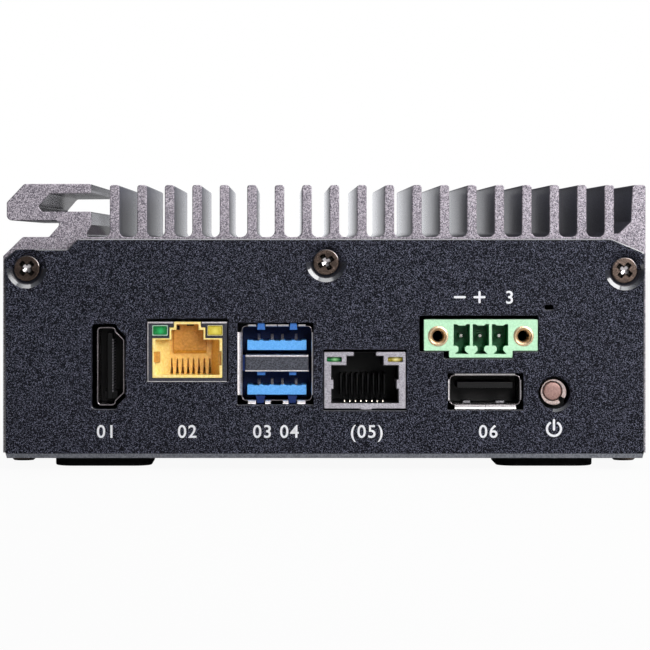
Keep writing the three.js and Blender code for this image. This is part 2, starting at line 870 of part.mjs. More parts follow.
// Mainboard with memory soldered to its underside and coils on top, on four standoffs
const boardHoleX = boardEdgeX - boardHoleInset;
const boardScrewPlaces = corners.map(([corner, sideX, sideY]) => {
  const y = sideY < 0 ? boardFrontY + boardFrontHoleInset : boardRearY - boardHoleInset;
  return [corner, [sideX * boardHoleX, y]];
});
const boardScrewRadius = boardScrewDiameter / 2;
const chips = row(processorY, chipDepth + chipGap, chipCount).map((y) => {
  return block(span(processorX, chipWidth), span(y, chipDepth), [boardUnderZ - chipHeight, boardZ]);
});
const coilX = processorX + processorWidth / 2 + coilGap + coilWidth / 2;
const coils = row(processorY, coilWidth + coilGap, coilCount).map((y) => {
  return block(span(coilX, coilWidth), span(y, coilWidth), [boardUnderZ, boardZ + coilHeight]);
});
const boardSlab = block([-boardEdgeX, boardEdgeX], [boardFrontY, boardRearY], [boardUnderZ, boardZ]);
const boardHoles = boardScrewPlaces.map(([, place]) => {
  return rodZ(place, boardScrewRadius + fitGap, boardUnderZ - overrun, boardZ + overrun, smallSides);
});
piece('mainboard', cut(joined(boardSlab, ...chips, ...coils), ...boardHoles), 'solderMask');
boardScrewPlaces.forEach(([corner, place]) => {
  const standoff = turnedZ(place, [
    [boardScrewRadius + fitGap, plateTopZ],
    [standoffDiameter / 2, plateTopZ],
    [standoffDiameter / 2, boardUnderZ],
    [boardScrewRadius + fitGap, boardUnderZ],
    [boardScrewRadius + fitGap, plateTopZ],
  ], smallSides);
  piece(`standoff_${corner}`, standoff, 'brass');
  const headRadius = boardScrewHeadDiameter / 2;
  const screw = turnedZ(place, [
    [0, boardZ - boardScrewLength],
    [boardScrewRadius, boardZ - boardScrewLength],
    [boardScrewRadius, boardZ],
    [headRadius, boardZ],
    [headRadius, boardZ + boardScrewHeadHeight / 2],
    [headRadius / 2, boardZ + boardScrewHeadHeight],
    [0, boardZ + boardScrewHeadHeight],
  ], smallSides);
  piece(`board_screw_${corner}`, screw, 'screwNickel');
});

// Processor, thermal pad and the aluminium block up to the deck
const processorTopZ = boardZ + processorHeight;
const padTopZ = processorTopZ + padHeight;
const processorSpans = [span(processorX, processorWidth), span(processorY, processorWidth)];
piece('processor', block(...processorSpans, [boardZ, processorTopZ]), 'chipResin');
const padSpans = [span(processorX, blockFootWidth), span(processorY, blockFootWidth)];
piece('thermal_pad', block(...padSpans, [processorTopZ, padTopZ]), 'thermalPad');
const blockFoot = block(...padSpans, [padTopZ, padTopZ + blockFootHeight]);
const blockTop = block(
  span(processorX, blockWidth),
  span(processorY, blockWidth),
  [padTopZ + blockFootHeight / 2, deckUnderZ],
);
piece('heat_block', joined(blockFoot, blockTop), 'bareAluminium');

// Storage module in its socket, held at its far end by a post
const moduleX = boardEdgeX - moduleSideInset;
const socketRearY = boardRearY - socketSetback;
const socketFrontY = socketRearY - socketDepth;
const moduleRearY = socketFrontY + moduleTongue;
const moduleFrontY = moduleRearY - moduleLength;
const moduleZ = boardZ + moduleLift;
const moduleTopZ = moduleZ + moduleThickness;
const moduleSlab = block(span(moduleX, moduleWidth), [moduleFrontY, moduleRearY], [moduleZ, moduleTopZ]);
const moduleChipMiddleY = (moduleFrontY + socketFrontY) / 2;
const moduleChipSpans = [
  [moduleFrontY + moduleChipMargin, moduleChipMiddleY - moduleChipGap / 2],
  [moduleChipMiddleY + moduleChipGap / 2, socketFrontY - moduleChipMargin],
];
const moduleChips = moduleChipSpans.map((y) => {
  return block(span(moduleX, moduleChipWidth), y, [moduleZ, moduleTopZ + moduleChipHeight]);
});
const postNeckRadius = postNeckDiameter / 2;
const moduleNotch = rodZ(
  [moduleX, moduleFrontY],
  postNeckRadius + fitGap,
  moduleZ - overrun,
  moduleTopZ + overrun,
  smallSides,
);
piece('storage_module', cut(joined(moduleSlab, ...moduleChips), moduleNotch), 'solderMask');
const socketZ = [boardZ, boardZ + socketHeight];
const socketBody = block(span(moduleX, socketWidth), [socketFrontY, socketRearY], socketZ);
const socketSlot = block(
  grown(span(moduleX, moduleWidth), fitGap),
  [socketFrontY - overrun, moduleRearY + fitGap],
  grown([moduleZ, moduleTopZ], fitGap),
);
piece('storage_socket', cut(socketBody, socketSlot), 'blackPlastic');
const postHeadZ = moduleTopZ + fitGap;
const post = turnedZ([moduleX, moduleFrontY], [
  [0, boardZ],
  [postDiameter / 2, boardZ],
  [postDiameter / 2, moduleZ],
  [postNeckRadius, moduleZ],
  [postNeckRadius, postHeadZ],
  [postDiameter / 2, postHeadZ],
  [postDiameter / 2, postHeadZ + postHeadHeight],
  [0, postHeadZ + postHeadHeight],
], smallSides);
piece('storage_post', post, 'brass');

// Clock battery lying on the board
const cell = turnedZ([cellSideInset - boardEdgeX, boardRearY - cellRearInset], [
  [0, boardZ],
  [cellDiameter / 2, boardZ],
  [cellDiameter / 2, boardZ + cellHeight - cellEdge],
  [cellDiameter / 2 - cellEdge, boardZ + cellHeight],
  [0, boardZ + cellHeight],
], roundSides);
piece('coin_cell', cell, 'cellSteel');

// Video port: shell on a foot, and the insulator with its tongue
function videoPort() {
  const faceY = frontY + video.recess;
  const backY = faceY + video.depth;
  const bottom = boardZ + video.lift;
  const x = span(video.centre, video.width);
  const tube = cut(
    alongY(videoOutline(0), faceY, backY),
    alongY(videoOutline(-video.wall), faceY - overrun, backY + overrun),
  );
  const foot = block(
    [x[0] + video.corner, x[1] - video.keyWidth - video.corner],
    [backY - video.backDepth, backY],
    [boardZ, bottom + video.wall],
  );
  piece('video_port_shell', joined(tube, foot), 'shieldSteel');
  const plug = alongY(videoOutline(-video.wall - cutGap), backY - video.backDepth, backY);
  const tongue = block(
    span(video.centre + video.tongueOffset, video.tongueThickness),
    [faceY + video.tongueRecess, backY - video.backDepth / 2],
    [bottom + video.tongueEndGap, bottom + video.height - video.tongueEndGap],
  );
  piece('video_port_insulator', joined(plug, tongue), 'blackPlastic');
}
videoPort();

// Network jack: shield, housing, contact comb and two indicator lenses
function networkJack(name, jack, housingFinish) {
  const { x, z, faceY, backY } = jackBox(jack);
  const plateY = faceY + jack.wall;
  const lampZ = [z[0] + jack.base + jack.mainHeight + jack.lampLift, z[1] - jack.lampTopInset];
  const step = grown(span(jack.centre, jack.stepWidth), jack.lampGap);
  const lamps = [[x[0] + jack.lampSideInset, step[0]], [step[1], x[1] - jack.lampSideInset]];
  const lampY = [faceY - overrun, plateY + jackLampDepth];
  const lampHoles = lamps.map((lamp) => block(grown(lamp, cutGap), lampY, grown(lampZ, cutGap)));
  const hollow = block(grown(x, -jack.wall), [plateY, backY + overrun], grown(z, -jack.wall));
  const shieldGrow = jack.rim > 0 ? cutGap : 0;
  const mouth = alongY(mouthOutline(jack, shieldGrow), faceY - overrun, faceY + jackNotchDepth);
  const legs = [x[0], x[1] - jack.wall].map((legX) => block(
    [legX, legX + jack.wall],
    span((faceY + backY) / 2, jackLegDepth),
    [z[0] - Math.min(jack.lift, jackLegWidth), z[0] + jack.wall],
  ));
  const shield = cut(block(x, [faceY, backY], z), hollow, mouth, ...lampHoles);
  piece(`${name}_shield`, joined(shield, ...legs), 'shieldSteel');
  const inside = grown(x, -jack.wall - cutGap);
  const insideZ = grown(z, -jack.wall - cutGap);
  const cavityBackY = plateY + jackCavityDepth;
  const filling = block(inside, [plateY + cutGap, backY], insideZ);
  const rim = alongY(mouthOutline(jack, 0), faceY, faceY + jackNotchDepth - fitGap);
  const housing = jack.rim > 0 ? joined(filling, rim) : filling;
  const cavity = alongY(mouthOutline(jack, -jack.rim), faceY - overrun, cavityBackY);
  piece(`${name}_housing`, cut(housing, cavity, ...lampHoles), housingFinish);
  const floorZ = z[0] + jack.base + jack.rim;
  const wireFrontY = faceY + contactSetback;
  const wireRearY = cavityBackY - contactBarDepth;
  const wires = row(jack.centre, contactPitch, contactCount).map((middle) => alongX([
    [wireFrontY, floorZ + cutGap],
    [wireRearY, floorZ + cutGap + contactRise - contactThickness],
    [cavityBackY - cutGap, floorZ + cutGap + contactRise - contactThickness],
    [cavityBackY - cutGap, floorZ + cutGap + contactRise],
    [wireRearY, floorZ + cutGap + contactRise],
    [wireFrontY, floorZ + cutGap + contactThickness],
  ], ...span(middle, contactWidth)));
  const barWidth = contactPitch * contactCount;
  const bar = block(
    span(jack.centre, barWidth),
    [wireRearY, cavityBackY - cutGap],
    [floorZ + cutGap, floorZ + contactRise - contactThickness / 2],
  );
  piece(`${name}_contacts`, joined(bar, ...wires), 'contactGold');
  const lensY = [faceY + jack.wall / 2, plateY + jackLampDepth - cutGap];
  piece(`${name}_lamp_left`, block(lamps[0], lensY, lampZ), 'greenLens');
  piece(`${name}_lamp_right`, block(lamps[1], lensY, lampZ), 'yellowLens');
}
networkJack('upper_jack', jackA, 'goldPlastic');
networkJack('lower_jack', jackB, 'greyPlastic');

// Spacer that lifts the gold jack over the board, with a channel for its pins between the shield's legs
const riserBox = jackBox(jackA);
const riserX = grown(riserBox.x, -jackA.wall - cutGap);
const riserY = [riserBox.faceY + riserSetback, riserBox.backY];
const riserBody = block(riserX, riserY, [boardZ, riserBox.z[0]]);
const riserCut = block(
  grown(riserX, overrun),
  span((riserY[0] + riserY[1]) / 2, riserChannel),
  [boardZ - overrun, boardZ + riserChannelHeight],
);
piece('upper_jack_riser', cut(riserBody, riserCut), 'blackPlastic');

// Shell of a serial port: a tube with four flared lips round its mouth and a foot on the board
function serialShell(port, extra = []) {
  const { x, z, lipX, lipZ, faceY, backY } = serialBox(port);
  const outerX = grown(x, port.wall);
  const outerZ = grown(z, port.wall);
  const lipY = [faceY, faceY + port.lipDepth];
  const lips = [
    block([lipX[0], x[0]], lipY, grown(z, -port.lipCorner)),
    block([x[1], lipX[1]], lipY, grown(z, -port.lipCorner)),
    block(grown(x, -port.lipCorner), lipY, [z[1], lipZ[1]]),
    block(grown(x, -port.lipCorner), lipY, [lipZ[0], z[0]]),
  ];
  const tube = cut(
    block(outerX, [faceY, backY], outerZ),
    block(x, [faceY - overrun, backY + overrun], z),
  );
  const foot = block(grown(x, -port.lipCorner), [backY - port.backDepth, backY], [boardZ, z[0]]);
  return joined(tube, foot, ...lips, ...extra);
}

// Insulator of a serial port: a plug at the back of the shell with a tongue forward into each mouth
function serialInsulator(port) {
  const { x, z, faceY, backY } = serialBox(port);
  const plugY = [backY - port.backDepth, backY];
  const plug = block(grown(x, -cutGap), plugY, grown(z, -cutGap));
  const tongues = port.mouthHeights.map((height, i) => {
    const bottom = z[0] + i * (port.mouthHeights[0] + port.dividerHeight) + port.tongueRise;
    return block(
      grown(x, -port.tongueSideGap),
      [faceY + port.tongueRecess, plugY[1]],
      [bottom, bottom + port.tongueHeight],
    );
  });
  return joined(plug, ...tongues);
}

const stackBox = serialBox(stack);
const dividerZ = stackBox.z[0] + stack.mouthHeights[0];
const divider = block(
  grown(stackBox.x, stack.wall / 2),
  [stackBox.faceY, stackBox.backY - stack.backDepth - cutGap],
  [dividerZ, dividerZ + stack.dividerHeight],
);
piece('double_port_shell', serialShell(stack, [divider]), 'shieldSteel');
piece('double_port_insulator', serialInsulator(stack), 'bluePlastic');
piece('single_port_shell', serialShell(single), 'shieldSteel');
piece('single_port_insulator', serialInsulator(single), 'blackPlastic');

// Power terminal: T-shaped header with keyed pockets, threaded brass inserts and pins
const terminalFaceY = frontY + terminalRecess;
const terminalRearY = terminalFaceY + pocketDepth + terminalBackWall;
const terminalEarZ = terminalZ + terminalStepHeight;
const poles = row(terminalX, terminalPitch, poleCount);
const pocketZ = terminalEarZ + pocketRise;
const pinZ = span(terminalEarZ + insertRise, pinThickness);
const pockets = poles.map((x) => alongY([
  [x - keyFootWidth / 2, pocketZ - keyNeckHeight - keyFootHeight],
  [x + keyFootWidth / 2, pocketZ - keyNeckHeight - keyFootHeight],
  [x + keyNeckWidth / 2, pocketZ - keyNeckHeight],
  [x + keyNeckWidth / 2, pocketZ],
  [x + pocketWidth / 2, pocketZ],
  [x + pocketWidth / 2, pocketZ + pocketHeight],
  [x - pocketWidth / 2, pocketZ + pocketHeight],
  [x - pocketWidth / 2, pocketZ],
  [x - keyNeckWidth / 2, pocketZ],
  [x - keyNeckWidth / 2, pocketZ - keyNeckHeight],
], terminalFaceY - overrun, terminalFaceY + pocketDepth));
const pinHoles = poles.map((x) => block(
  grown(span(x, pinThickness), cutGap),
  [terminalFaceY, terminalRearY + overrun],
  grown(pinZ, cutGap),
));
const insertPlaces = [-1, 1].map((side) => [terminalX + side * insertOffset, terminalEarZ + insertRise]);
const insertHoles = insertPlaces.map((place) => rodY(
  place,
  insertDiameter / 2 + cutGap,
  terminalFaceY - overrun,
  terminalFaceY + insertLength + cutGap,
  roundSides,
));
const terminalBlock = alongY(terminalOutline(0), terminalFaceY, terminalRearY);
piece('terminal_header', cut(terminalBlock, ...pockets, ...pinHoles, ...insertHoles), 'mintPlastic');
['left', 'right'].forEach((side, i) => {
  const insert = turnedY(insertPlaces[i], [
    [insertBore / 2, terminalFaceY],
    [insertDiameter / 2, terminalFaceY],
    [insertDiameter / 2, terminalFaceY + insertLength],
    [insertBore / 2, terminalFaceY + insertLength],
    [insertBore / 2, terminalFaceY],
  ], roundSides);
  piece(`terminal_insert_${side}`, insert, 'brass');
});
const pinRearY = terminalRearY + pinTailDepth;
const pins = poles.map((x) => joined(
  block(span(x, pinThickness), [terminalFaceY + pinFrontSetback, pinRearY], pinZ),
  block(span(x, pinThickness), [pinRearY - pinThickness, pinRearY], [terminalZ, pinZ[1]]),
));
const pinBar = block(
  [poles[0], poles[poleCount - 1]],
  [pinRearY - pinThickness, pinRearY],
  [terminalZ, terminalZ + pinBarHeight],
);
piece('terminal_pins', joined(pinBar, ...pins), 'contactGold');

// Power board under the terminal, on a header behind the single port
const powerBoardUnderZ = boardZ + powerBoardLift;
const powerBoardRearY = boardFrontY + powerBoardDepth;
const powerBoardSpans = [span(terminalX, powerBoardWidth), [boardFrontY, powerBoardRearY]];
piece('power_board', block(...powerBoardSpans, [powerBoardUnderZ, terminalZ]), 'solderMask');
const headerRearY = powerBoardRearY - headerSetback;
const headerPost = block(
  span(terminalX, headerWidth),
  [headerRearY - headerDepth, headerRearY],
  [boardZ, powerBoardUnderZ],
);
piece('board_link', headerPost, 'blackPlastic');

// Power switch, its pale ring and the sprung cap that slides in
const switchFloor = [boardZ, boardZ + switchHeight];
const capRadius = buttonDiameter / 2;
const capFrontY = frontY + buttonRecess;
const capRearY = switchY + buttonTail;
const capBoreRadius = capRadius + slideGap;
const capBore = rodY(
  [switchX, switchZ],
  capBoreRadius,
  switchY - overrun,
  capRearY + buttonTravel + fitGap,
  roundSides,
);
const switchBody = block(span(switchX, switchWidth), [switchY, switchY + switchDepth], switchFloor);
piece('power_switch', cut(switchBody, capBore), 'blackPlastic');
const ring = turnedY([switchX, switchZ], [
  [capBoreRadius, frontY + ringRecess],
  [ringDiameter / 2, frontY + ringRecess],
  [ringDiameter / 2, switchY],
  [capBoreRadius, switchY],
  [capBoreRadius, frontY + ringRecess],
], roundSides);
piece('power_button_ring', ring, 'clearPlastic');
const cap = turnedY([switchX, switchZ], [
  [0, capFrontY],
  [capRadius - buttonEdge, capFrontY],
  [capRadius, capFrontY + buttonEdge],
  [capRadius, capRearY],
  [0, capRearY],
], roundSides);
piece('power_button', cap, 'buttonPlastic');

export default computer;
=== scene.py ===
import math

import bpy
import numpy as np
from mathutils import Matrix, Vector
from mathutils.geometry import delaunay_2d_cdt


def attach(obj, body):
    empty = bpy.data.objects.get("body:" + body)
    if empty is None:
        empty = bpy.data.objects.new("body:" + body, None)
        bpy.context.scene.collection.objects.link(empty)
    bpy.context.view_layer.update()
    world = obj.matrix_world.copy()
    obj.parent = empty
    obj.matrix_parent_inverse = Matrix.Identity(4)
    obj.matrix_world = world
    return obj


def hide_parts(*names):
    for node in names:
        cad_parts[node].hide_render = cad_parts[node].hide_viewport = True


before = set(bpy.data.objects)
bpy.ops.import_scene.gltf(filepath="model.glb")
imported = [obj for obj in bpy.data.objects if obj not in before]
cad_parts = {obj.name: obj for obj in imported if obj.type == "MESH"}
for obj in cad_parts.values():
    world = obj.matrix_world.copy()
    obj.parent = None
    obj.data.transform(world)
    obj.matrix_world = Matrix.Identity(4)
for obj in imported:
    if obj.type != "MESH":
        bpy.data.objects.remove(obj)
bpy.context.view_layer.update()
mm = 0.001
scene = bpy.context.scene
print("frame loaded")


# Shapes, in millimetres. An outline is an array of (u, v) points. A shell is a dictionary of points, faces,
# corner normals (None where Blender works them out) and the material slot of its faces.
smoothTurn = 38  # degrees: where an outline turns less than this, its wall is shaded smooth
sharpAngle = 35  # degrees: faces that meet at more than this keep a sharp edge
axisOrder = {"y": [0, 2, 1], "x": [2, 0, 1], "z": [0, 1, 2]}  # places of (u, v, depth), depth along the axis


# Vectors brought to length one: v / |v|
def unit(v):
    size = np.linalg.norm(v, axis=-1, keepdims=True)
    return v / np.where(size > 1e-12, size, 1)


# Arc points: centre + radius * (cos a, sin a), a in degrees
def arc(centre, radius, start, end, steps=8):
    a = np.radians(np.linspace(start, end, steps + 1))
    return np.array(centre) + radius * np.stack([np.cos(a), np.sin(a)], 1)


# Circle of equal sides, without the doubled last point of its arc
def circle(centre, radius, sides=48):
    return arc(centre, radius, 0, 360, sides)[:-1]


# Outline from corners (u, v, radius): a corner with a radius becomes the arc that touches both its sides,
# centre = corner + bisector * radius / sin(half angle), swept from one touching point to the other
def roundedOutline(corners, steps=5):
    flat = np.array([corner[:2] for corner in corners], float)
    radii = np.array([corner[2] if len(corner) > 2 else 0 for corner in corners], float)
    toBefore, toAfter = unit(np.roll(flat, 1, 0) - flat), unit(np.roll(flat, -1, 0) - flat)
    half = np.arccos(np.clip((toBefore * toAfter).sum(1), -1, 1)) / 2
    middle = flat + unit(toBefore + toAfter) * (radii / np.sin(half))[:, None]
    share = np.linspace(0, 1, steps + 1)
    runs = []
    for i, radius in enumerate(radii):
        if radius == 0:
            runs.append(flat[i:i + 1])
            continue
        start, end = (to[i] * radius / math.tan(half[i]) + flat[i] - middle[i] for to in (toBefore, toAfter))
        sweep = math.atan2(start[0] * end[1] - start[1] * end[0], start @ end)
        angle = math.atan2(start[1], start[0]) + sweep * share
        runs.append(middle[i] + radius * np.stack([np.cos(angle), np.sin(angle)], 1))
    return np.concatenate(runs)


# Rectangle from u0 to u1 and v0 to v1, with one radius at its corners
def rectangle(u0, u1, v0, v1, radius=0, steps=5):
    return roundedOutline([(u0, v0, radius), (u1, v0, radius), (u1, v1, radius), (u0, v1, radius)], steps)


# Corners of both halves of an outline, from its right half as (distance from the middle, height, radius)
def bothSides(middle, right):
    return [(middle + u, *rest) for u, *rest in right] + [(middle - u, *rest) for u, *rest in right[::-1]]


# Places in a row: middle + pitch * (i - (count - 1) / 2)
def spread(middle, pitch, count):
    return middle + pitch * (np.arange(count) - (count - 1) / 2)


# Loop turned so that its area, half the sum of u1 v2 - u2 v1, is positive
def anticlockwise(loop):
    u, v = loop.T
    area = (u * np.roll(v, -1) - np.roll(u, -1) * v).sum()
    return loop if area > 0 else loop[::-1]


# Normals to the right of each side of a loop: (along v, - along u)
def sideNormals(loop):
    along = unit(np.roll(loop, -1, 0) - loop)
    return np.stack([along[:, 1], -along[:, 0]], 1)


# Loop moved to its left by a distance, each corner along its mitre (n1 + n2) / (1 + n1.n2)
def shifted(loop, distance):
    left = -sideNormals(loop)
    before = np.roll(left, 1, 0)
    mitre = (left + before) / np.maximum(1 + (left * before).sum(1, keepdims=True), 0.2)
    return loop + mitre * np.asarray(distance, float).reshape(-1, 1)


# Loop with its long sides cut into equal steps of about one length
def divided(loop, length):
    after = np.roll(loop, -1, 0)
    counts = np.maximum(np.ceil(np.linalg.norm(after - loop, axis=1) / length).astype(int), 1)
    runs = [a + (b - a) * (np.arange(n) / n)[:, None] for a, b, n in zip(loop, after, counts)]
    return np.concatenate(runs)


# Points and triangles inside a set of loops by the even-odd rule: a triangle stays where a ray from its
# centre crosses the loops an odd number of times
def filled(loops):
    points = np.concatenate(loops)
    runs = np.split(np.arange(len(points)), np.cumsum([len(loop) for loop in loops])[:-1])
    edges = np.concatenate([np.stack([run, np.roll(run, -1)], 1) for run in runs])
    made = delaunay_2d_cdt([Vector(p) for p in points.tolist()], edges.tolist(), [], 0, 1e-7)
    corners, tris = np.array([tuple(p) for p in made[0]]), np.array(made[2])
    a, b, c = (corners[tris[:, k]] for k in range(3))
    turn = (b[:, 0] - a[:, 0]) * (c[:, 1] - a[:, 1]) - (b[:, 1] - a[:, 1]) * (c[:, 0] - a[:, 0])
    tris = np.where((turn > 0)[:, None], tris, tris[:, ::-1])
    u, v = ((a + b + c) / 3).T[:, :, None]
    (u1, v1), (u2, v2) = points[edges[:, 0]].T, points[edges[:, 1]].T
    rise = np.where(v2 == v1, 1, v2 - v1)
    crossed = ((v1 > v) != (v2 > v)) & (u < (u2 - u1) * (v - v1) / rise + u1)
    return corners, tris[(crossed.sum(1) % 2 == 1) & (np.abs(turn) > 1e-12)]


# Rows (offset, depth, normal) of a quarter-round edge: offset = r (1 - sin t), depth = r (1 - cos t)
def edgeRows(depth, radius, inward, steps=3):
    if not np.any(radius):
        return [(0, depth, (1, 0))]
    turns = [(math.sin(t), math.cos(t)) for t in np.linspace(0, math.pi / 2, steps + 1)[::inward]]
    return [(radius * (1 - s), depth + inward * radius * (1 - c), (s, -inward * c)) for s, c in turns]


# Corner normals that lean from the outline's own normal toward the depth axis: (out * share, along)
def leaning(out, share):
    return np.column_stack([out * np.reshape(share[0], (-1, 1)), np.broadcast_to(share[1], len(out))])


# Wall that carries rows (offset, depth, normal) round a loop, side 1 round material and -1 round a pocket. A
# row without a normal gives flat bands, whose normal is (depth step, offset step) at length one.
def wall(loop, rows, side):
    n = len(loop)
    out = side * sideNormals(loop)
    before = np.roll(out, 1, 0)
    soft = ((out * before).sum(1) > math.cos(math.radians(smoothTurn)))[:, None]
    blended = unit(out + before)
    starts = np.where(soft, blended, out)
    ends = np.where(np.roll(soft, -1, 0), np.roll(blended, -1, 0), out)
    points = [
        np.column_stack([shifted(loop, side * np.asarray(offset, float)), np.broadcast_to(depth, n)])
        for offset, depth, _ in rows
    ]
    j = np.arange(n)
    k = np.roll(j, -1)
    order = [0, 3, 2, 1] if side > 0 else [0, 1, 2, 3]
    quads, normals = [], []
    for r, ((offset0, depth0, share0), (offset1, depth1, share1)) in enumerate(zip(rows, rows[1:])):
        if share0 is None or share1 is None:
            slope = np.broadcast_arrays(depth1 - depth0, offset1 - offset0, np.zeros(n))[:2]
            share0 = share1 = unit(np.stack(slope, 1)).T
        quads.append(np.stack([r * n + j, r * n + k, (r + 1) * n + k, (r + 1) * n + j], 1)[:, order])
        corners = (starts, share0), (ends, share0), (ends, share1), (starts, share1)
        normals.append(np.stack([leaning(*corner) for corner in corners], 1)[:, order])
    return np.concatenate(points), np.concatenate(quads), np.concatenate(normals)


# Body milled from an outline between two depths, with quarter-round edges and pockets. A pocket is a
# dictionary: loop, floor (none where it goes right through), edge, or rows of its own in place of an edge.
def milled(outline, depths, pockets=(), edge=0, backEdge=0, axis="y", rows=None, steps=3):
    front, back = depths
    outline = anticlockwise(np.array(outline, float))
    outer = edgeRows(front, edge, 1, steps) + (rows or edgeRows(back, backEdge, -1, steps))
    parts = [wall(outline, outer, 1)]
    frontCap, backCap, floors = [shifted(outline, outer[0][0])], [shifted(outline, outer[-1][0])], []
    for pocket in pockets:
        loop, floor = anticlockwise(np.array(pocket["loop"], float)), pocket.get("floor")
        deepest = (0, back if floor is None else floor, (1, 0))
        inner = pocket.get("rows") or edgeRows(front, pocket.get("edge", 0), 1, steps) + [deepest]
        parts.append(wall(loop, inner, -1))
        frontCap.append(shifted(loop, -inner[0][0]))
        last = shifted(loop, -inner[-1][0])
        if floor is None:
            backCap.append(last)
        else:
            floors.append(([last], inner[-1][1], -1))
    for loops, depth, facing in [(frontCap, front, -1), (backCap, outer[-1][1], 1), *floors]:
        flat, tris = filled(loops)
        points = np.column_stack([flat, np.full(len(flat), depth)])
        parts.append((points, tris[:, ::-facing], np.tile([0.0, 0.0, facing], (len(tris), 3, 1))))
    order, way = axisOrder[axis], 1 if axis == "y" else -1
    faces, count = [], 0
    for points, partFaces, _ in parts:
        faces += (partFaces[:, ::way] + count).tolist()
        count += len(points)
    return {
        "points": np.concatenate([points for points, _, _ in parts])[:, order], "faces": faces, "slot": 0,
        "normals": np.concatenate([normals[:, ::way].reshape(-1, 3) for _, _, normals in parts])[:, order],
    }


# Section carried along an axis, with the same quarter-round edge at both ends
def bar(section, span, edge, axis="x", steps=3):
    return milled(section, span, edge=edge, backEdge=edge, axis=axis, steps=steps)


# Box between limits along x, y and z, with small rounded edges
def block(x, y, z, edge=0.05):
    return bar(rectangle(*x, *z, edge * 1.2), y, edge, "y", 2)


# Surface turned about a line along y from a closed profile (radius, depth) with the material to its left:
# (radius cos a, radius sin a), the radius of the rows that ripple names swinging by depth * cos(count a)
def turned(profile, centre, sides=48, ripple=None):
    a = np.linspace(0, 2 * math.pi, sides, endpoint=False)
    points = []
    for row, (radius, depth) in enumerate(profile):
        r = np.full(sides, float(radius))
        if ripple and row in ripple["rows"]:
            r += ripple["depth"] * np.cos(ripple["count"] * a)
        ring = [centre[0] + r * np.cos(a), np.full(sides, depth), centre[1] + r * np.sin(a)]
        points.append(np.column_stack(ring))
    rings = np.arange(sides * len(profile)).reshape(-1, sides)
    quads = [rings, np.roll(rings, -1, 0), np.roll(rings, (-1, -1), (0, 1)), np.roll(rings, -1, 1)]
    faces = np.stack(quads, 2).reshape(-1, 4).tolist()
    return {"points": np.concatenate(points), "faces": faces, "normals": None, "slot": 0}


# Shell whose faces take another material slot
def slotted(shell, slot):
    shell["slot"] = slot
    return shell


# Shell mirrored front to back, with its faces turned round to keep facing out
def mirroredY(shell):
    corners = np.cumsum([len(face) for face in shell["faces"]])[:-1]
    shell["points"] = shell["points"] * (1, -1, 1)
    if shell["normals"] is not None:
        parts = np.split(shell["normals"] * (1, -1, 1), corners)
        shell["normals"] = np.concatenate([part[::-1] for part in parts])
    shell["faces"] = [face[::-1] for face in shell["faces"]]
    return shell


# Shell with its seams closed: points nearer than a hundredth of a thousandth of a millimetre become one, and
# corners that fall together leave their face
def welded(shell):
    _, first, merged = np.unique(shell["points"].round(5), axis=0, return_index=True, return_inverse=True)
    sizes = np.array([len(face) for face in shell["faces"]])
    corners = merged.ravel()[np.concatenate(shell["faces"])]
    starts = np.cumsum(sizes) - sizes
    after = np.roll(corners, -1)
    after[starts + sizes - 1] = corners[starts]
    kept = corners != after
    left = np.add.reduceat(kept, starts)
    kept &= np.repeat(left > 2, sizes)
    pieces = np.split(corners[kept], np.cumsum(np.where(left > 2, left, 0))[:-1])
    normals = np.zeros((kept.sum(), 3)) if shell["normals"] is None else shell["normals"][kept]
    return shell["points"][first], [piece.tolist() for piece in pieces if len(piece)], normals


# Object for a mesh, curve, lamp or camera, put into the scene
def placed(name, data):
    thing = bpy.data.objects.new(name, data)
    scene.collection.objects.link(thing)
    return thing


# Mesh object from shells, riding on a body. It stands for the given CAD nodes, or for the node of its own
# name, which is front_screw_left for frontScrewLeft, where there is one.
def makePiece(name, shells, materials, nodes=(), body="case"):
    points, faces, normals, slots, count = [], [], [], [], 0
    for shell in shells:
        ownPoints, ownFaces, ownNormals = welded(shell)
        points.append(ownPoints * mm)
        faces += [[index + count for index in face] for face in ownFaces]
        normals.append(ownNormals)
        slots += [shell["slot"]] * len(ownFaces)
        count += len(ownPoints)
    mesh = bpy.data.meshes.new(name)
    mesh.from_pydata(np.concatenate(points).tolist(), [], faces)
    mesh.polygons.foreach_set("material_index", slots)
    for material in materials:
        mesh.materials.append(material)
    mesh.shade_smooth()
    mesh.set_sharp_from_angle(angle=math.radians(sharpAngle))
    mesh.normals_split_custom_set(np.concatenate(normals).tolist())
    mesh.update()
    piece = placed(name, mesh)
    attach(piece, body)
    ownNode = "".join("_" + letter.lower() if letter.isupper() else letter for letter in name)
    nodes = nodes or [ownNode] * (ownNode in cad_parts)
    if nodes:
        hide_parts(*nodes)
    return piece


# New materials for the faces in slot 0, by a rule on their centres (millimetres) and normals
def repaint(piece, rule):
    polygons = piece.data.polygons
    centres, normals = np.empty((2, len(polygons) * 3))
    slots = np.empty(len(polygons), np.int32)
    for key, values in {"center": centres, "normal": normals, "material_index": slots}.items():
        polygons.foreach_get(key, values)
    chosen = rule(*(centres.reshape(-1, 3) / mm).T, *normals.reshape(-1, 3).T)
    polygons.foreach_set("material_index", np.where(slots == 0, chosen, slots))


# Materials

# sRGB hex to linear: c / 12.92 below 0.04045, else ((c + 0.055) / 1.055) ** 2.4
def linear(hexText):
    c = np.array([int(hexText[i:i + 2], 16) for i in (0, 2, 4)]) / 255
    return (*np.where(c < 0.04045, c / 12.92, ((c + 0.055) / 1.055) ** 2.4).tolist(), 1)


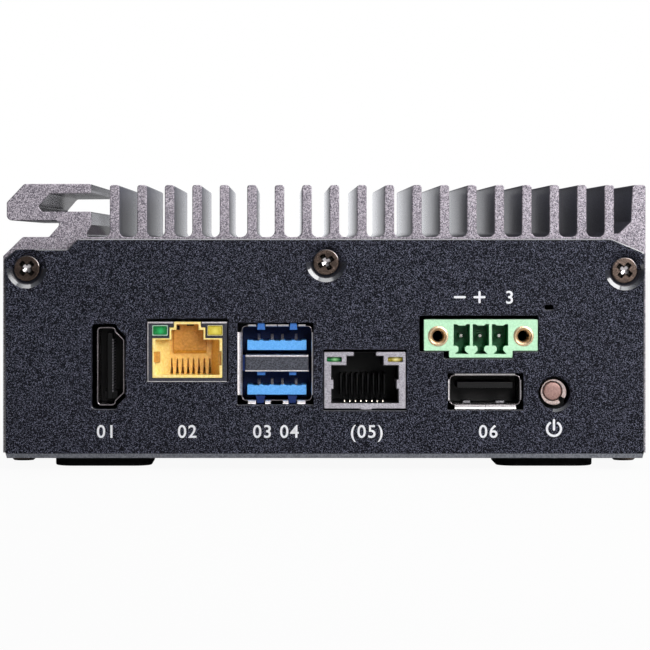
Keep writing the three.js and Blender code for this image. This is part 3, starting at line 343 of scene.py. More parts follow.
# Adds one node: its settings, then its inputs by name or number, each a value or another node's output
def addNode(tree, kind, inputs=(), **settings):
    node = tree.nodes.new("ShaderNode" + kind)
    for key, value in settings.items():
        setattr(node, key, value)
    for key, value in dict(inputs).items():
        if isinstance(value, bpy.types.NodeSocket):
            tree.links.new(value, node.inputs[key])
        else:
            node.inputs[key].default_value = value
    return node


# A shader with layers of detail over the object's own coordinates, in millimetres: grain (dark to light
# colour and bump, as noise, or as flakes between two shares of the range), drawn out along an axis by
# stretch, and wide patches that dim the colour down to low and swing the roughness. A glow, a painted light,
# is a centre, its colour and its reach. A coatFade is the depths between which a film thickens, and its thin
# share.
def finish(
    name, dark, light, middle=None, middleAt=0.5, flakes=None, stretch=None, grain=0.25, rough=0.35,
    swing=0.04, metal=0, bump=0.004, patch=1, low=0.85, sockets=(), glow=None, coatFade=None,
):
    material = bpy.data.materials.new(name)
    material.use_nodes = True
    tree = material.node_tree
    shader = tree.nodes["Principled BSDF"]
    for socket, value in {"Roughness": rough, "Metallic": metal, **dict(sockets)}.items():
        shader.inputs[socket].default_value = value
    place = stretched = addNode(tree, "TexCoord").outputs["Object"]
    if stretch:
        stretched = addNode(tree, "Mapping", {"Vector": place, "Scale": stretch}).outputs[0]
    fine = {"Vector": stretched, "Scale": 1 / (grain * mm)}
    if flakes:
        cells = addNode(tree, "TexVoronoi", fine).outputs["Color"]
        specks = addNode(tree, "SeparateXYZ", {0: cells}).outputs[0]
    else:
        specks = addNode(tree, "TexNoise", {**fine, "Detail": 2, "Roughness": 0.6}).outputs["Fac"]
    wide = {"Vector": place, "Scale": 1 / (patch * mm), "Detail": 3}
    patches = addNode(tree, "TexNoise", wide).outputs["Fac"]
    speckled = addNode(tree, "ValToRGB", {"Fac": specks})
    ramp = speckled.color_ramp
    for stop, share, tint in zip(ramp.elements, flakes or (0.35, 0.65), (dark, light)):
        stop.position, stop.color = share, linear(tint)
    if middle:
        ramp.elements.new(middleAt).color = linear(middle)
    tone = addNode(tree, "MapRange", {0: patches, 1: 0.3, 2: 0.7, 3: low, 4: 1}).outputs[0]
    soiled = {0: 0.5, 6: speckled.outputs[0], 7: tone}
    colour = addNode(tree, "Mix", soiled, data_type="RGBA", blend_type="MULTIPLY").outputs[2]
    if glow:
        centre, core, reach = glow
        apart = addNode(tree, "VectorMath", {0: place, 1: [c * mm for c in centre]}, operation="DISTANCE")
        fading = {0: apart.outputs["Value"], 1: 0, 2: reach * mm, 3: 1, 4: 0}
        near = addNode(tree, "MapRange", fading, interpolation_type="SMOOTHSTEP").outputs[0]
        colour = addNode(tree, "Mix", {0: near, 6: colour, 7: linear(core)}, data_type="RGBA").outputs[2]
    wear = {0: patches, 1: 0.3, 2: 0.7, 3: rough - swing, 4: rough + swing}
    worn = addNode(tree, "MapRange", wear).outputs[0]
    relief = addNode(tree, "Bump", {"Strength": 1, "Distance": bump * mm, "Height": specks}).outputs[0]
    links = {"Base Color": colour, "Roughness": worn, "Normal": relief}
    if coatFade:
        start, end, thin = coatFade
        depth = addNode(tree, "SeparateXYZ", {0: place}).outputs["Y"]
        film = {0: depth, 1: start * mm, 2: end * mm, 3: thin, 4: 1}
        links["Coat Weight"] = addNode(tree, "MapRange", film).outputs[0]
    for socket, output in links.items():
        tree.links.new(output, shader.inputs[socket])
    return material


# Blasted and clear anodised skin of the extrusion: mauve grey with fine bright and dark grit
endMetal = finish(
    "anodised aluminium, blasted", "544f5a", "c6bec7", middle="8e8790", flakes=(0.05, 0.95), grain=0.15,
    rough=0.5, metal=0.4, bump=0.02, patch=14, low=0.92,
)
# Extruded and anodised flanks: a dark base, partly the metal's own and partly painted shade of the deep
# gaps, and a glossy film that turns white at a grazing view, thinned toward the front ends as a painted
# fade of its reflection
flankMetal = finish(
    "anodised aluminium, extruded flanks", "44444d", "676771", middle="51515b", flakes=(0.05, 0.95),
    grain=0.2, rough=0.5, bump=0.012, patch=20, low=0.9, coatFade=(-42, 30, 0.15),
    sockets={"Coat Roughness": 0.1, "Coat IOR": 1.055, "Specular IOR Level": 0.1},
)
# Drawn bright inside of the hook, which the blasting doesn't reach: it mirrors the light behind
hookMetal = finish(
    "anodised aluminium, extruded hook", "bab6bd", "d6d2d9", stretch=(1, 0.1, 1), rough=0.12, swing=0.01,
    metal=1, bump=0.001, patch=12, low=0.92,
)
# Powder coat with a sand texture: near black blue, with pale grit where the grains catch the light
sandPaint = finish(
    "powder coated steel, sand texture", "04040a", "6e7083", middle="0d0e17", middleAt=0.7,
    flakes=(0.02, 0.98), grain=0.11, rough=0.6, bump=0.03, patch=18, sockets={"Specular IOR Level": 0.1},
)
# The same coat where it runs thin and smooth over a cut edge, with a strong gloss that the panel gives
# mostly to rims that face up, as a painted highlight
edgePaint = finish(
    "powder coat over a cut edge", "16181f", "252832", patch=4, low=0.9,
    sockets={"Coat Weight": 1.0, "Coat Roughness": 0.12, "Coat IOR": 2.3, "Specular IOR Level": 0.6},
)
# Ends of the bottom plate, greyer than its faces
plateEdge = finish(
    "ends of painted sheet, greyer", "4c4e55", "6d6f76", flakes=(0.05, 0.95), rough=0.45, metal=0.3,
    bump=0.008, patch=9, low=0.9,
)
# Pressed steel screws with dull nickel, and a darker copy of it as painted shade deep in the cross
screwNickel = finish(
    "nickel plated steel", "4f433d", "6f6058", grain=0.2, rough=0.26, metal=1, bump=0.006, patch=1.5,
    low=0.7,
)
screwShade = finish(
    "nickel plated steel, painted shade in the cross", "12100e", "2a2520", grain=0.2, metal=0.8, bump=0.006,
)
# Compression moulded rubber, matt
footRubber = finish("moulded rubber", "0c0c0e", "1e1e21", grain=0.4, rough=0.8, bump=0.02, patch=5)
# Drawn and nickel plated sheet: bright, with faint draw lines
sheetSteel = finish(
    "nickel plated sheet steel, drawn", "d4ced0", "f0ebec", stretch=(1, 0.15, 1), grain=0.3, rough=0.32,
    metal=1, bump=0.002, patch=3, low=0.9,
)
# The sleeves behind the lips, tinned and in shade: thin dull lines where their rims catch the light
sleeveSteel = finish(
    "tinned sleeve in shade", "8f878a", "bcb4b7", stretch=(1, 0.15, 1), grain=0.3, rough=0.2, metal=1,
    bump=0.003, patch=3, low=0.8,
)
# Stamped divider between the ports: dark, with a coarse tin grain
dividerSteel = finish(
    "tinned divider, matt", "2b2d34", "565862", flakes=(0.05, 0.95), grain=0.16, rough=0.45, metal=0.6,
    bump=0.01, patch=3,
)
# Tin plated shield with a deep gloss that mirrors the dark room, and one stamped satin: pale mauve grey
darkShield = finish("tin plated shield, glossy", "5e5e68", "787882", rough=0.16, metal=1, patch=3, low=0.8)
satinShield = finish(
    "tin plated shield, satin", "8b878f", "b7b4bb", grain=0.22, rough=0.42, metal=0.75, bump=0.008, patch=3,
    low=0.9,
)
# Translucent gold thermoplastic in three copies: pale for the rim, and darker honey yellow and orange brown
# copies as painted shade in the cavity, on the comb, the latch and the windows
goldPlastic, goldShadedPlastic, goldDeepShadedPlastic = [finish(
    "moulded plastic, gold, " + part, dark, light, grain=0.5, rough=rough, bump=0.003, patch=4, low=low,
    sockets={"Subsurface Weight": 0.25, "Subsurface Radius": (0.0012, green, 0.0002), "Coat Weight": coat},
) for part, dark, light, rough, low, green, coat in (
    ("thin rim", "f3d47a", "ffe99e", 0.32, 0.95, 0.0008, 0.3),
    ("cavity", "e6b157", "f6c76f", 0.35, 0.93, 0.0007, 0),
    ("thick", "c08429", "d99c3f", 0.38, 0.92, 0.0007, 0),
)]
# Injection moulded insulators: black, and light blue tongues, with deep blue and navy copies of the blue as
# painted shade on the tabs and in the cavity
dull = {"Specular IOR Level": 0.2}
blackPlastic = finish("moulded plastic, black", "040405", "0b0b0d", patch=3, sockets=dull)
bluePlastic = finish(
    "moulded plastic, light blue", "52a1ea", "69b6f9", patch=2, low=0.95,
    sockets={"Subsurface Weight": 0.15, "Subsurface Radius": (0.0003, 0.0005, 0.001)},
)
shadedBluePlastic = finish("moulded plastic, blue, painted shade", "195cab", "2872c6", rough=0.4, patch=2)
deepShadedBluePlastic = finish("moulded plastic, blue, painted deep shade", "051d4f", "092b6a", rough=0.45, patch=2, sockets=dull)
# Moulded header, and a darker green copy of the same plastic in its narrow pockets as painted shade
mintPlastic = finish("moulded plastic, mint", "aad9b3", "bbe7c2", grain=0.4, rough=0.42, patch=5, low=0.96)
pocketShadePlastic = finish(
    "moulded plastic, mint, painted pocket shade", "088a46", "12a85c", grain=0.4, patch=2, low=0.8,
)
# Turned brass, bright with fine tool rings
brass = finish("turned brass", "d3b083", "f5dfbd", grain=0.15, rough=0.34, metal=0.9)
# Stamped contacts: gold plated in the light and in shade, and bare phosphor bronze
contactGold, contactBrown, contactDark = [finish(
    name, dark, light, grain=0.15, rough=rough, metal=metal, bump=0.003,
) for name, dark, light, rough, metal in (
    ("gold plated contact", "cfc4b2", "f3ecdf", 0.3, 0.8),
    ("gold plated contact, in shade", "6a4a22", "8f6a38", 0.35, 0.6),
    ("phosphor bronze contact, in shade", "626064", "908e92", 0.35, 1),
)]
# Clear moulded light guides, tinted green and yellow as painted light from their lenses
greenGuide, yellowGuide = [finish(
    "clear light guide, " + tint, dark, light, grain=0.3, rough=0.25, bump=0.003,
) for tint, dark, light in (("greenish", "b3dfc2", "ccf0d8"), ("yellowish", "e2d89a", "f4edba"))]
# Coloured lamp lenses, moulded: deep at the rim, with a painted glow that pales them toward the middle
greenLens, greenLensLow, yellowLens, yellowLensLow = [finish(
    name, dark, light, grain=0.4, rough=0.14, patch=0.8, glow=(centre, core, 0.9),
    sockets={"Coat Weight": 0.6},
) for name, dark, light, centre, core in (
    ("green lamp lens, raised jack", "08702f", "108c43", (-30.0, -41.2, 25.2), "22b060"),
    ("green lamp lens, lower jack", "08702f", "108c43", (1.9, -41, 20.0), "9ee09a"),
    ("yellow lamp lens, raised jack", "cdb936", "dac848", (-20.0, -41.2, 25.2), "e6d860"),
    ("yellow lamp lens, lower jack", "8f7d14", "dac848", (13.1, -41, 20.0), "fff6b0"),
)]
# Button cap, turned and anodised, and its ring, frosted by moulding
buttonPlastic = finish("anodised cap, rose", "8c6b64", "a4827b", rough=0.38, metal=0.4, bump=0.006)
clearPlastic = finish(
    "frosted clear plastic", "a08d88", "d0bdb8", grain=0.3, rough=0.4, bump=0.02, patch=0.8,
    sockets={"Subsurface Weight": 0.3, "Subsurface Radius": (0.0008, 0.0006, 0.0005)},
)
# Screen print, a thin matt film
whiteInk = finish(
    "screen printed ink, white", "cfcfd4", "e8e8eb", grain=0.3, rough=0.5, bump=0.006, patch=3, low=0.93,
)
# Inner parts: lacquered boards, moulded chips, cast pad, milled block, pressed can
laminate = finish(
    "glass fibre laminate with lacquer, green", "173f2b", "255a3f", stretch=(1, 1, 0.2), grain=0.6,
    rough=0.32, bump=0.006, patch=9,
)
chipResin = finish("moulded chip resin", "1b1b1d", "2d2d30", grain=0.2, rough=0.6, bump=0.006, patch=4)
padSilicone = finish("filled silicone pad", "828f9d", "98a5b3", grain=0.5, rough=0.75, bump=0.01, patch=4)
millFinish = finish(
    "milled aluminium block", "acacb0", "c6c6ca", stretch=(1, 0.05, 1), rough=0.3, metal=1, patch=8,
)
cellSteel = finish("pressed battery can", "a7a5a0", "bfbdb8", grain=0.2, rough=0.28, metal=1, patch=4)
print("materials ready")


# Case: section of the extrusion, with its screw lines
case = {
    "halfWidth": 59, "ends": (-39, 39), "bottom": 2.8, "under": 38.5, "valley": 42.4, "finTop": 51.95,
    "skirt": 3, "railWidth": 6, "railHeight": 5, "finCount": 19, "finThickness": 1.76, "finEdge": 0.5,
    "finRoot": 1.1, "firstFin": -38.53, "lastFin": 52.31, "rightFin": 56.61, "endEdge": 0.19,
}
screws = {"left": (-54.49, 36.65), "middle": (0.27, 37.8), "right": (54.9, 36.3)}
bore = {"boss": 3, "radius": 1.55}


# The bosses under the deck are arcs about the screw lines, from where each leaves the deck, at
# asin(height / boss), or the skirt, at acos(distance / boss)
def heatsinkOutline():
    w, low, z, top = case["halfWidth"], case["bottom"], case["valley"], case["finTop"]
    skirt, rail, railTop = w - case["skirt"], w - case["railWidth"], low + case["railHeight"]
    boss = bore["boss"]
    deck = {side: math.degrees(math.asin((case["under"] - spot[1]) / boss)) for side, spot in screws.items()}
    spans = {
        "left": (360 - math.degrees(math.acos((-skirt - screws["left"][0]) / boss)), 360 + deck["left"]),
        "middle": (180 - deck["middle"], 360 + deck["middle"]),
        "right": (180 - deck["right"], 360 - math.degrees(math.acos((skirt - screws["right"][0]) / boss))),
    }
    bosses = [arc(screws[side], boss, *span, 16) for side, span in spans.items()]
    half, edge, foot = case["finThickness"] / 2, case["finEdge"], case["finRoot"]
    rightFin, rightValley, fins = case["rightFin"], z + 0.6, []
    for x in np.linspace(case["lastFin"], case["firstFin"], case["finCount"]):
        fins += [(x + half, z, foot), (x + half, top, edge), (x - half, top, edge), (x - half, z, foot)]
    fins[0] = (case["lastFin"] + half, rightValley)
    upper = roundedOutline([
        (w, top, 0.45), (rightFin, top, 0.5), (rightFin - 0.33, rightValley + 2.17, 0.6),
        (rightFin - 2.66, rightValley, 0.3), *fins,
        *[(u - w, z + rise, radius) for u, rise, radius in (
            (15.07, 0, 0.4), (16.2, 2.24, 0.3), (16.2, 4.66, 0.3), (7.2, 4.66, 0.45), (6.43, 5.58, 0.3),
            (8.5, 7.95, 0.6), (16.17, 8.02, 0.25), (16.17, 9.75, 0.3), (3.86, 9.75, 0.5), (0.65, 6.35, 0.5),
            (0.65, 3.03, 0.95), (11.1, 3.03, 0.7), (8.4, 0, 0.25), (3.61, 0, 0.4), (0, -3.51, 0.3),
        )],
        (-w, low, 0), (w, low, 0),
    ], 6)[:-2]
    rails = [(-w, low), (-rail, low), (-rail, railTop), (-skirt, railTop)]
    return np.concatenate([rails, *bosses, [(-x, height) for x, height in rails[::-1]], upper])


# The walls of the gaps and the faces turned down along them keep the dark extruded finish, partly painted
# shade, and the inside of the hook its bright one
def heatsinkRule(x, y, z, nx, ny, nz):
    along = (abs(ny) < 0.2) & (z > 41.5) & (x < 57.5)
    walls = along & ((abs(nx) > 0.35) & ((x > -50) | (nx > 0)) | (nz < -0.35))
    hook = along & (x < -42.5) & (z < 52) & ((nx > 0.35) | (abs(z - 48.75) < 1.75))
    return np.where(hook, 2, np.where(walls, 0, 1))


bores = [{"loop": circle(spot, bore["radius"], 32)} for spot in screws.values()]
extrusion = milled(heatsinkOutline(), case["ends"], bores, case["endEdge"], case["endEdge"])
looks = [flankMetal, endMetal, hookMetal]
repaint(makePiece("heatsinkExtrusion", [extrusion], looks, ["heatsink"]), heatsinkRule)

# End panels with a folded edge all round, set back a hair for the printed marks. A chamfer is fall times as
# deep as wide.
panel = {
    "front": -41.98, "back": -39, "halfWidth": 58.5, "bottom": 2.8, "top": 42.05, "edge": 0.4,
    "backEdge": 0.1, "mouth": 3.67, "seat": 2.97, "step": 0.3, "fall": 0.78, "hole": 0.13, "keep": 0.12,
}


# Outline of an end panel from its lower left corner, stepped down under the hook
def panelOutline():
    w, low, top = panel["halfWidth"], panel["bottom"], panel["top"]
    return roundedOutline([
        (-w, low + 0.5), (-w + 0.22, low), (w - 0.22, low), (w, low + 0.5), (w, top - 2.5, 0.8),
        (w - 6, top, 1.5), (-w + 13.4, top, 0.8), (-w + 11.5, top - 1.9, 0.6), (-w + 2.13, top - 1.9, 0.55),
        (-w, top - 3.6, 0.55),
    ])


# Screw recess: a wide chamfered mouth, a straight wall, then a cone down to the bore. The mouth keeps inside
# the blank: radius = min(mouth, (height of a near side - keep) / cosine to it)
def screwRecess(place, outline):
    out = sideNormals(outline)
    near = np.linalg.norm(outline - place, axis=1) < 2 * panel["mouth"]
    height = np.where(near, (out * (outline - place)).sum(1), 0)
    ways = circle((0, 0), 1, 96)
    reach = np.where(height > 0, (height - panel["keep"]) / np.maximum(ways @ out.T, 1e-6), 100).min(1)
    front, seat, step = panel["front"], panel["seat"], panel["step"]
    deep, cone = front + (panel["mouth"] - seat) * panel["fall"], seat - bore["radius"]
    return {"loop": circle(place, seat, 96), "rows": [
        (np.minimum(panel["mouth"], reach) - seat, front, None), (0, deep, None), (0, deep + step, None),
        (-cone, deep + step + cone, None), (-cone, panel["back"], None),
    ]}


# Folded edge, finer along the bottom and where a screw mouth comes close to it
def panelEdge(outline):
    gap = np.min([np.linalg.norm(outline - place, axis=1) for place in screws.values()], 0) - panel["mouth"]
    return np.clip(np.minimum(gap - 0.04, (outline[:, 1] - panel["bottom"]) * 0.3), 0.06, panel["edge"])


video = {
    "left": -41.8, "right": -36.6, "bottom": 11.4, "top": 26.0, "face": -39.8, "back": -28.8, "key": 1.55,
    "step": 0.7, "slope": 2.2,
}


# Outline of the upright video port, keyed at the right, grown at the right, the left and the ends
def videoOutline(right, left, ends, leftRadius=0.5):
    x0, x1 = video["left"] - left, video["right"] + right
    low, high = video["bottom"] - ends, video["top"] + ends
    key, step, slope = x1 - video["key"], video["step"], video["slope"]
    return roundedOutline([
        (x0, low, leftRadius), (key, low, 0.5), (key, low + step, 0.45), (x1, low + slope, 0.35),
        (x1, high - slope, 0.35), (key, high - step, 0.45), (key, high, 0.5), (x0, high, leftRadius),
    ])


terminal = {
    "x": 28.56, "bottom": 20.3, "step": 1.26, "height": 5.77, "stepHalf": 5.835, "half": 10.435,
    "face": -41.7, "back": -32.5, "pitch": 3.5, "pocketTop": 26.44, "pocketLow": 22.51, "pocketHalf": 1.475,
    "neck": 0.6, "footTop": 21.61, "footLow": 21.01, "footHalf": 1.22, "floor": -34.1, "insert": 7.805,
    "middle": 24.26,
}


# Outline of the terminal, a low step with an ear to each side, grown by so much at the step's left and
# right, the ears' left and right, below the step, below the ears and above
def terminalOutline(radius, stepLeft=0, stepRight=0, left=0, right=0, below=0, ear=0, above=0):
    x, low, step, half = (terminal[key] for key in ("x", "bottom", "stepHalf", "half"))
    high = low + terminal["step"]
    x0, x1, x2, x3 = x - half - left, x - step - stepLeft, x + step + stepRight, x + half + right
    z0, z1, z2 = low - below, high - ear, high + terminal["height"] + above
    return roundedOutline([
        (x1, z0, radius), (x2, z0, radius), (x2, z1), (x3, z1, radius), (x3, z2, radius), (x0, z2, radius),
        (x0, z1, radius), (x1, z1),
    ], 3)


button = {
    "x": 41.7, "z": 14.2, "cap": 1.675, "capFront": -41.1, "capRear": -34.9, "holeX": 42.0, "holeZ": 13.9,
    "hole": 2.95, "chamfer": 0.55, "ringInner": 1.875, "ringOuter": 2.3, "ringFront": -40.9,
    "ringRear": -37.4,
}


# Openings of the front panel: ports, terminal, small hole and button
def frontPockets():
    chamfer, front = button["chamfer"], panel["front"]
    holes = [
        videoOutline(0.22, 0.8, 0.5, 0.85), rectangle(-32.56, -17.6, 15.95, 27.45, 0.2, 3),
        rectangle(-0.225, 14.965, 10.68, 21.8, 0.2, 3), rectangle(-15.95, -2.05, 11.74, 26.72, 0.12, 3),
        rectangle(22.52, 36.35, 10.8, 17.49, 0.12, 3),
        terminalOutline(0.2, 0.95, 0.1, 0.8, 0.12, 0.16, 0.14, 0.68),
        rectangle(40.2, 41.85, 29.08, 29.95, 0.3, 4),
    ]
    buttonHole = {"loop": circle((button["holeX"], button["holeZ"]), button["hole"], 72), "rows": [
        (chamfer, front, None), (0, front + chamfer * panel["fall"], None), (0, panel["back"], None),
    ]}
    return [{"loop": loop, "edge": panel["hole"]} for loop in holes] + [buttonHole]


# Panel blank with its screw recesses and more pockets
def endPanel(pockets):
    depths = panel["front"], panel["back"]
    return milled(blank, depths, pockets + recesses, panelEdge(blank), panel["backEdge"], steps=4)


# Rims that face up and the outer fold take the glossy coat, and the button's rim only its lowest part: a
# painted highlight where they face the lamps, while the rims that face down keep the matt coat as painted
# shade
def panelRule(x, y, z, nx, ny, nz):
    rims = (abs(ny) > 0.02) & (abs(ny) < 0.98) & ((nz > 0) | (abs(x) > 58.05) | (z < 3.4))
    fromButton = np.hypot(x - button["holeX"], z - button["holeZ"])
    return rims & ((fromButton > 4) | (nz > 0.3) & (nx < 0.05))


blank = divided(panelOutline(), 0.6)
recesses = [screwRecess(place, blank) for place in screws.values()]
repaint(makePiece("frontPanel", [endPanel(frontPockets())], [sandPaint, edgePaint]), panelRule)
# The rear panel is the same blank, its depth the other way round
makePiece("rearPanel", [mirroredY(endPanel([]))], [sandPaint])

# Bottom plate with its lower long edges bevelled, greyer at its ends
plate = bar([(-58.07, 2), (58.07, 2), (58.28, 2.8), (-58.28, 2.8)], (-42, 42), 0.06, "y")


# The ends face along y
def plateRule(x, y, z, nx, ny, nz):
    return abs(ny) > 0.3


repaint(makePiece("bottomPlate", [plate], [sandPaint, plateEdge]), plateRule)

# Feet: square pads with round corners and a soft lower edge
foot = {"half": 9, "corner": 3.5, "height": 2, "edge": 0.35, "x": 40.9, "y": 25}
for end, y in (("Front", -foot["y"]), ("Rear", foot["y"])):
    for hand, x in (("Left", -foot["x"]), ("Right", foot["x"])):
        half = foot["half"]
        pad = rectangle(x - half, x + half, y - half, y + half, foot["corner"], 10)
        shell = milled(pad, (0, foot["height"]), edge=foot["edge"], axis="z", steps=4)
        makePiece("foot" + end + hand, [shell], [footRubber])

# Countersunk cross-head screws: flat head with a tapered cross, each turned to the angle that shows
head = {
    "top": panel["front"] + 0.9, "radius": 2.38, "rim": 0.3, "shank": 1.25, "length": 8, "arm": 1.5,
    "half": 0.45, "deep": 0.8,
    "dish": [(0, 0.75), (0.3, 0.68), (0.8, 0.42), (0.85, 0.5), (0.85, 0.9), (0, 0.9)],
}


# Cross outline: four arms about the middle, turned by an angle in degrees
def crossOutline(place, angle):
    arm, half = head["arm"], head["half"]
    corners = [
        (c * x - s * z, s * x + c * z, radius) for c, s in ((1, 0), (0, 1), (-1, 0), (0, -1))
        for x, z, radius in ((arm, half, 0.12), (half, half, 0.1), (half, arm, 0.12))
    ]
    c, s = math.cos(math.radians(angle)), math.sin(math.radians(angle))
    return roundedOutline(corners, 3) @ np.array([[c, s], [-s, c]]) + place


# Screw, and a shallow dish at the root of its cross, in brighter steel as a painted highlight
def panelScrew(place, angle):
    top, rim, deep, end = head["top"], head["rim"], head["deep"], head["top"] + head["length"]
    cone = head["radius"] - head["shank"]
    cross = {"loop": crossOutline(place, angle), "floor": top + deep, "rows": [
        (0.06, top, None), (0, top + 0.06, None), (-0.05, top + 0.3, None), (-0.3, top + deep, None),
    ]}
    rows = [(0, top + rim, None), (cone, top + rim + cone, None), (cone, end, None)]
    dish = turned([(radius, top + depth) for radius, depth in head["dish"]], place, 40)
    screw = milled(circle(place, head["radius"], 56), (top, end), [cross], 0.22, rows=rows, steps=4)
    return [screw, slotted(dish, 2)]


# The cross's walls take the dark copy as painted shade, and the upper rim of the head, where it faces
# up, takes the bright steel of the dish as a painted highlight
def shadeCross(piece, place):
    def rule(x, y, z, nx, ny, nz):
        far, deep = np.hypot(x - place[0], z - place[1]), -head["top"] - abs(y)
        rim = (far > 2.1) & (abs(ny) > 0.5) & (abs(ny) < 0.9) & (nz > 0.1) & (deep < 0.25)
        return np.where(rim, 2, (far < 1.8) & (deep > 0.01) & (deep < head["deep"] + 0.02))

    repaint(piece, rule)


for side, angle in {"left": 45, "middle": 30, "right": 52}.items():
    for end, extra in (("front", 0), ("rear", 20)):
        shells = panelScrew(screws[side], angle + extra)
        if end == "rear":
            shells = [mirroredY(shell) for shell in shells]
        name, looks = end + "Screw" + side.title(), [screwNickel, screwShade, sheetSteel]
        shadeCross(makePiece(name, shells, looks), screws[side])
print("case ready")


# Ports
lipFront = -41.6


# Drawn steel sleeve, open at both ends: an outline and the same grown by the wall
def sleeve(inner, wallWidth, depths):
    outer = shifted(anticlockwise(inner), -wallWidth)
    return milled(outer, depths, [{"loop": inner, "edge": wallWidth * 0.3}], edge=wallWidth * 0.3, steps=2)


# Lip flared out from a sleeve: a ring sector, out = reach - r cos a, back = reach - r sin a, along its side
def flared(side, at, reach, span):
    a = np.radians(np.linspace(0, 90, 9))
    sheet = min(0.25, reach * 0.6)
    outer, inner = [reach - r * np.stack([np.cos(a), np.sin(a)], 1) for r in (reach, reach - sheet)]
    out, back = np.concatenate([outer, inner[::-1]]).T
    place, depth = at + out * (1 if side in ("right", "top") else -1), lipFront + back
    if side in ("left", "right"):
        return bar(np.column_stack([place, depth]), span, 0.03, "z", 1)
    return bar(np.column_stack([depth, place]), span, 0.03, "x", 1)


# Upright video port: keyed sleeve, black insulator with its tongue, and a row of small contacts
videoSleeve = sleeve(videoOutline(-0.34, -0.34, -0.34), 0.28, (video["face"], video["back"]))
makePiece("videoPortShell", [videoSleeve], [sleeveSteel])
makePiece("videoPortInsulator", [
    milled(videoOutline(-0.36, -0.36, -0.36), (-32, -28.9), edge=0.1),
    block((-39.9, -38.95), (-38.2, -31.9), (12.6, 24.8), 0.12),
    block((-40.45, -38.05), (-37.2, -31.9), (12.57, 14.15), 0.12),
], [blackPlastic])
makePiece("videoPortContacts", [
    block((-38.99, -38.78), (-38.25, -32), (z - 0.13, z + 0.13)) for z in spread(18.75, 0.52, 19)
], [satinShield])

# Network jacks. x is the middle of the mouth, and half widths are from there.
upperJack = {
    "x": -25.1, "left": -32.4, "right": -17.8, "bottom": 15.86, "top": 26.93, "depths": (-41.45, -20.7),
    "half": 6.42, "low": 16.6, "high": 23.9, "stepHalf": 3.3, "stepTop": 25.87, "notchHalf": 2.48,
    "lamps": [(-31.55, -28.64), (-21.49, -18.58)], "lampLow": 24.3, "lampHigh": 26.3,
    "contacts": spread(-24.6, 1, 8),
}
lowerJack = {
    "x": 7.37, "left": -0.125, "right": 14.865, "bottom": 10.98, "top": 21.41, "depths": (-41.7, -20.7),
    "half": 6.14, "low": 12.0, "high": 18.93, "stepHalf": 3.36, "stepTop": 20.62, "notchHalf": 2.0,
    "lamps": [(0.4, 3.15), (11.6, 14.3)], "lampLow": 19.55, "lampHigh": 20.45,
    "contacts": spread(7.15, 1.004, 8),
}
mouthKeys = ("half", "stepHalf", "notchHalf", "high", "stepTop", "top")


# Stamped front of a jack: one closed loop round the sheet and through the notch into the mouth, with a
# spring tab at each side where tab gives its depth
def shieldOutline(jack, tab=0):
    half, step, notch, high, stepTop, top = (jack[key] for key in mouthKeys)
    tabs = [(half, 16.3), (half - tab, 16.3), (half - tab, 14.6), (half, 14.6)] if tab else []
    return roundedOutline([
        (jack["left"], jack["bottom"], 0.2), (jack["right"], jack["bottom"], 0.2), (jack["right"], top, 0.2),
        *bothSides(jack["x"], [
            (notch, top, 0.2), (notch, stepTop, 0.2), (step, stepTop), (step, high), (half, high), *tabs,
            (half, jack["low"]),
        ]), (jack["left"], top, 0.2),
    ], 3)


# Pockets for the two lamps in the front of a jack
def lampPockets(jack):
    return [{
        "loop": rectangle(*lamp, jack["lampLow"], jack["lampHigh"], 0.15, 2), "edge": 0.06, "floor": -38.5,
    } for lamp in jack["lamps"]]


# Housing or cavity: the mouth, the step over the latch and the notch, each wider by grow
def housingOutline(jack, grow=0):
    half, step, notch, high, stepTop, top = (jack[key] + grow for key in mouthKeys)
    return roundedOutline(bothSides(jack["x"], [
        (half, jack["low"] - grow, 0.15), (half, high, 0.12), (step, high, 0.12), (step, stepTop, 0.12),
        (notch, stepTop, 0.12), (notch, top, 0.12),
    ]), 3)


# Gold cavity with a window cut into each side of its rim
def goldCavity():
    corners = []
    for side, deep, low, high in ((1, 6.25, 18.9, 21.5), (-1, 6.15, 19.45, 21.4)):
        run = [
            (5.85, 17.17, 0.2), (5.85, low), (deep, low), (deep, high), (5.85, high), (5.85, 23.62, 0.15),
            (2.95, 23.62), (2.95, 25.38), (2.04, 25.38), (2.04, 26.42, 0.15),
        ]
        corners += [(upperJack["x"] + side * u, *rest) for u, *rest in run[::side]]
    return roundedOutline(corners, 3)


# Wall that leans in from the mouth to the middle: a wedge (x, y) carried up
def leaningWall(x0, x1):
    return bar([(x0, -40.6), (x1, -37), (x1, -27.9), (x0, -27.9)], (17.1, 23.6), 0.05, "z")
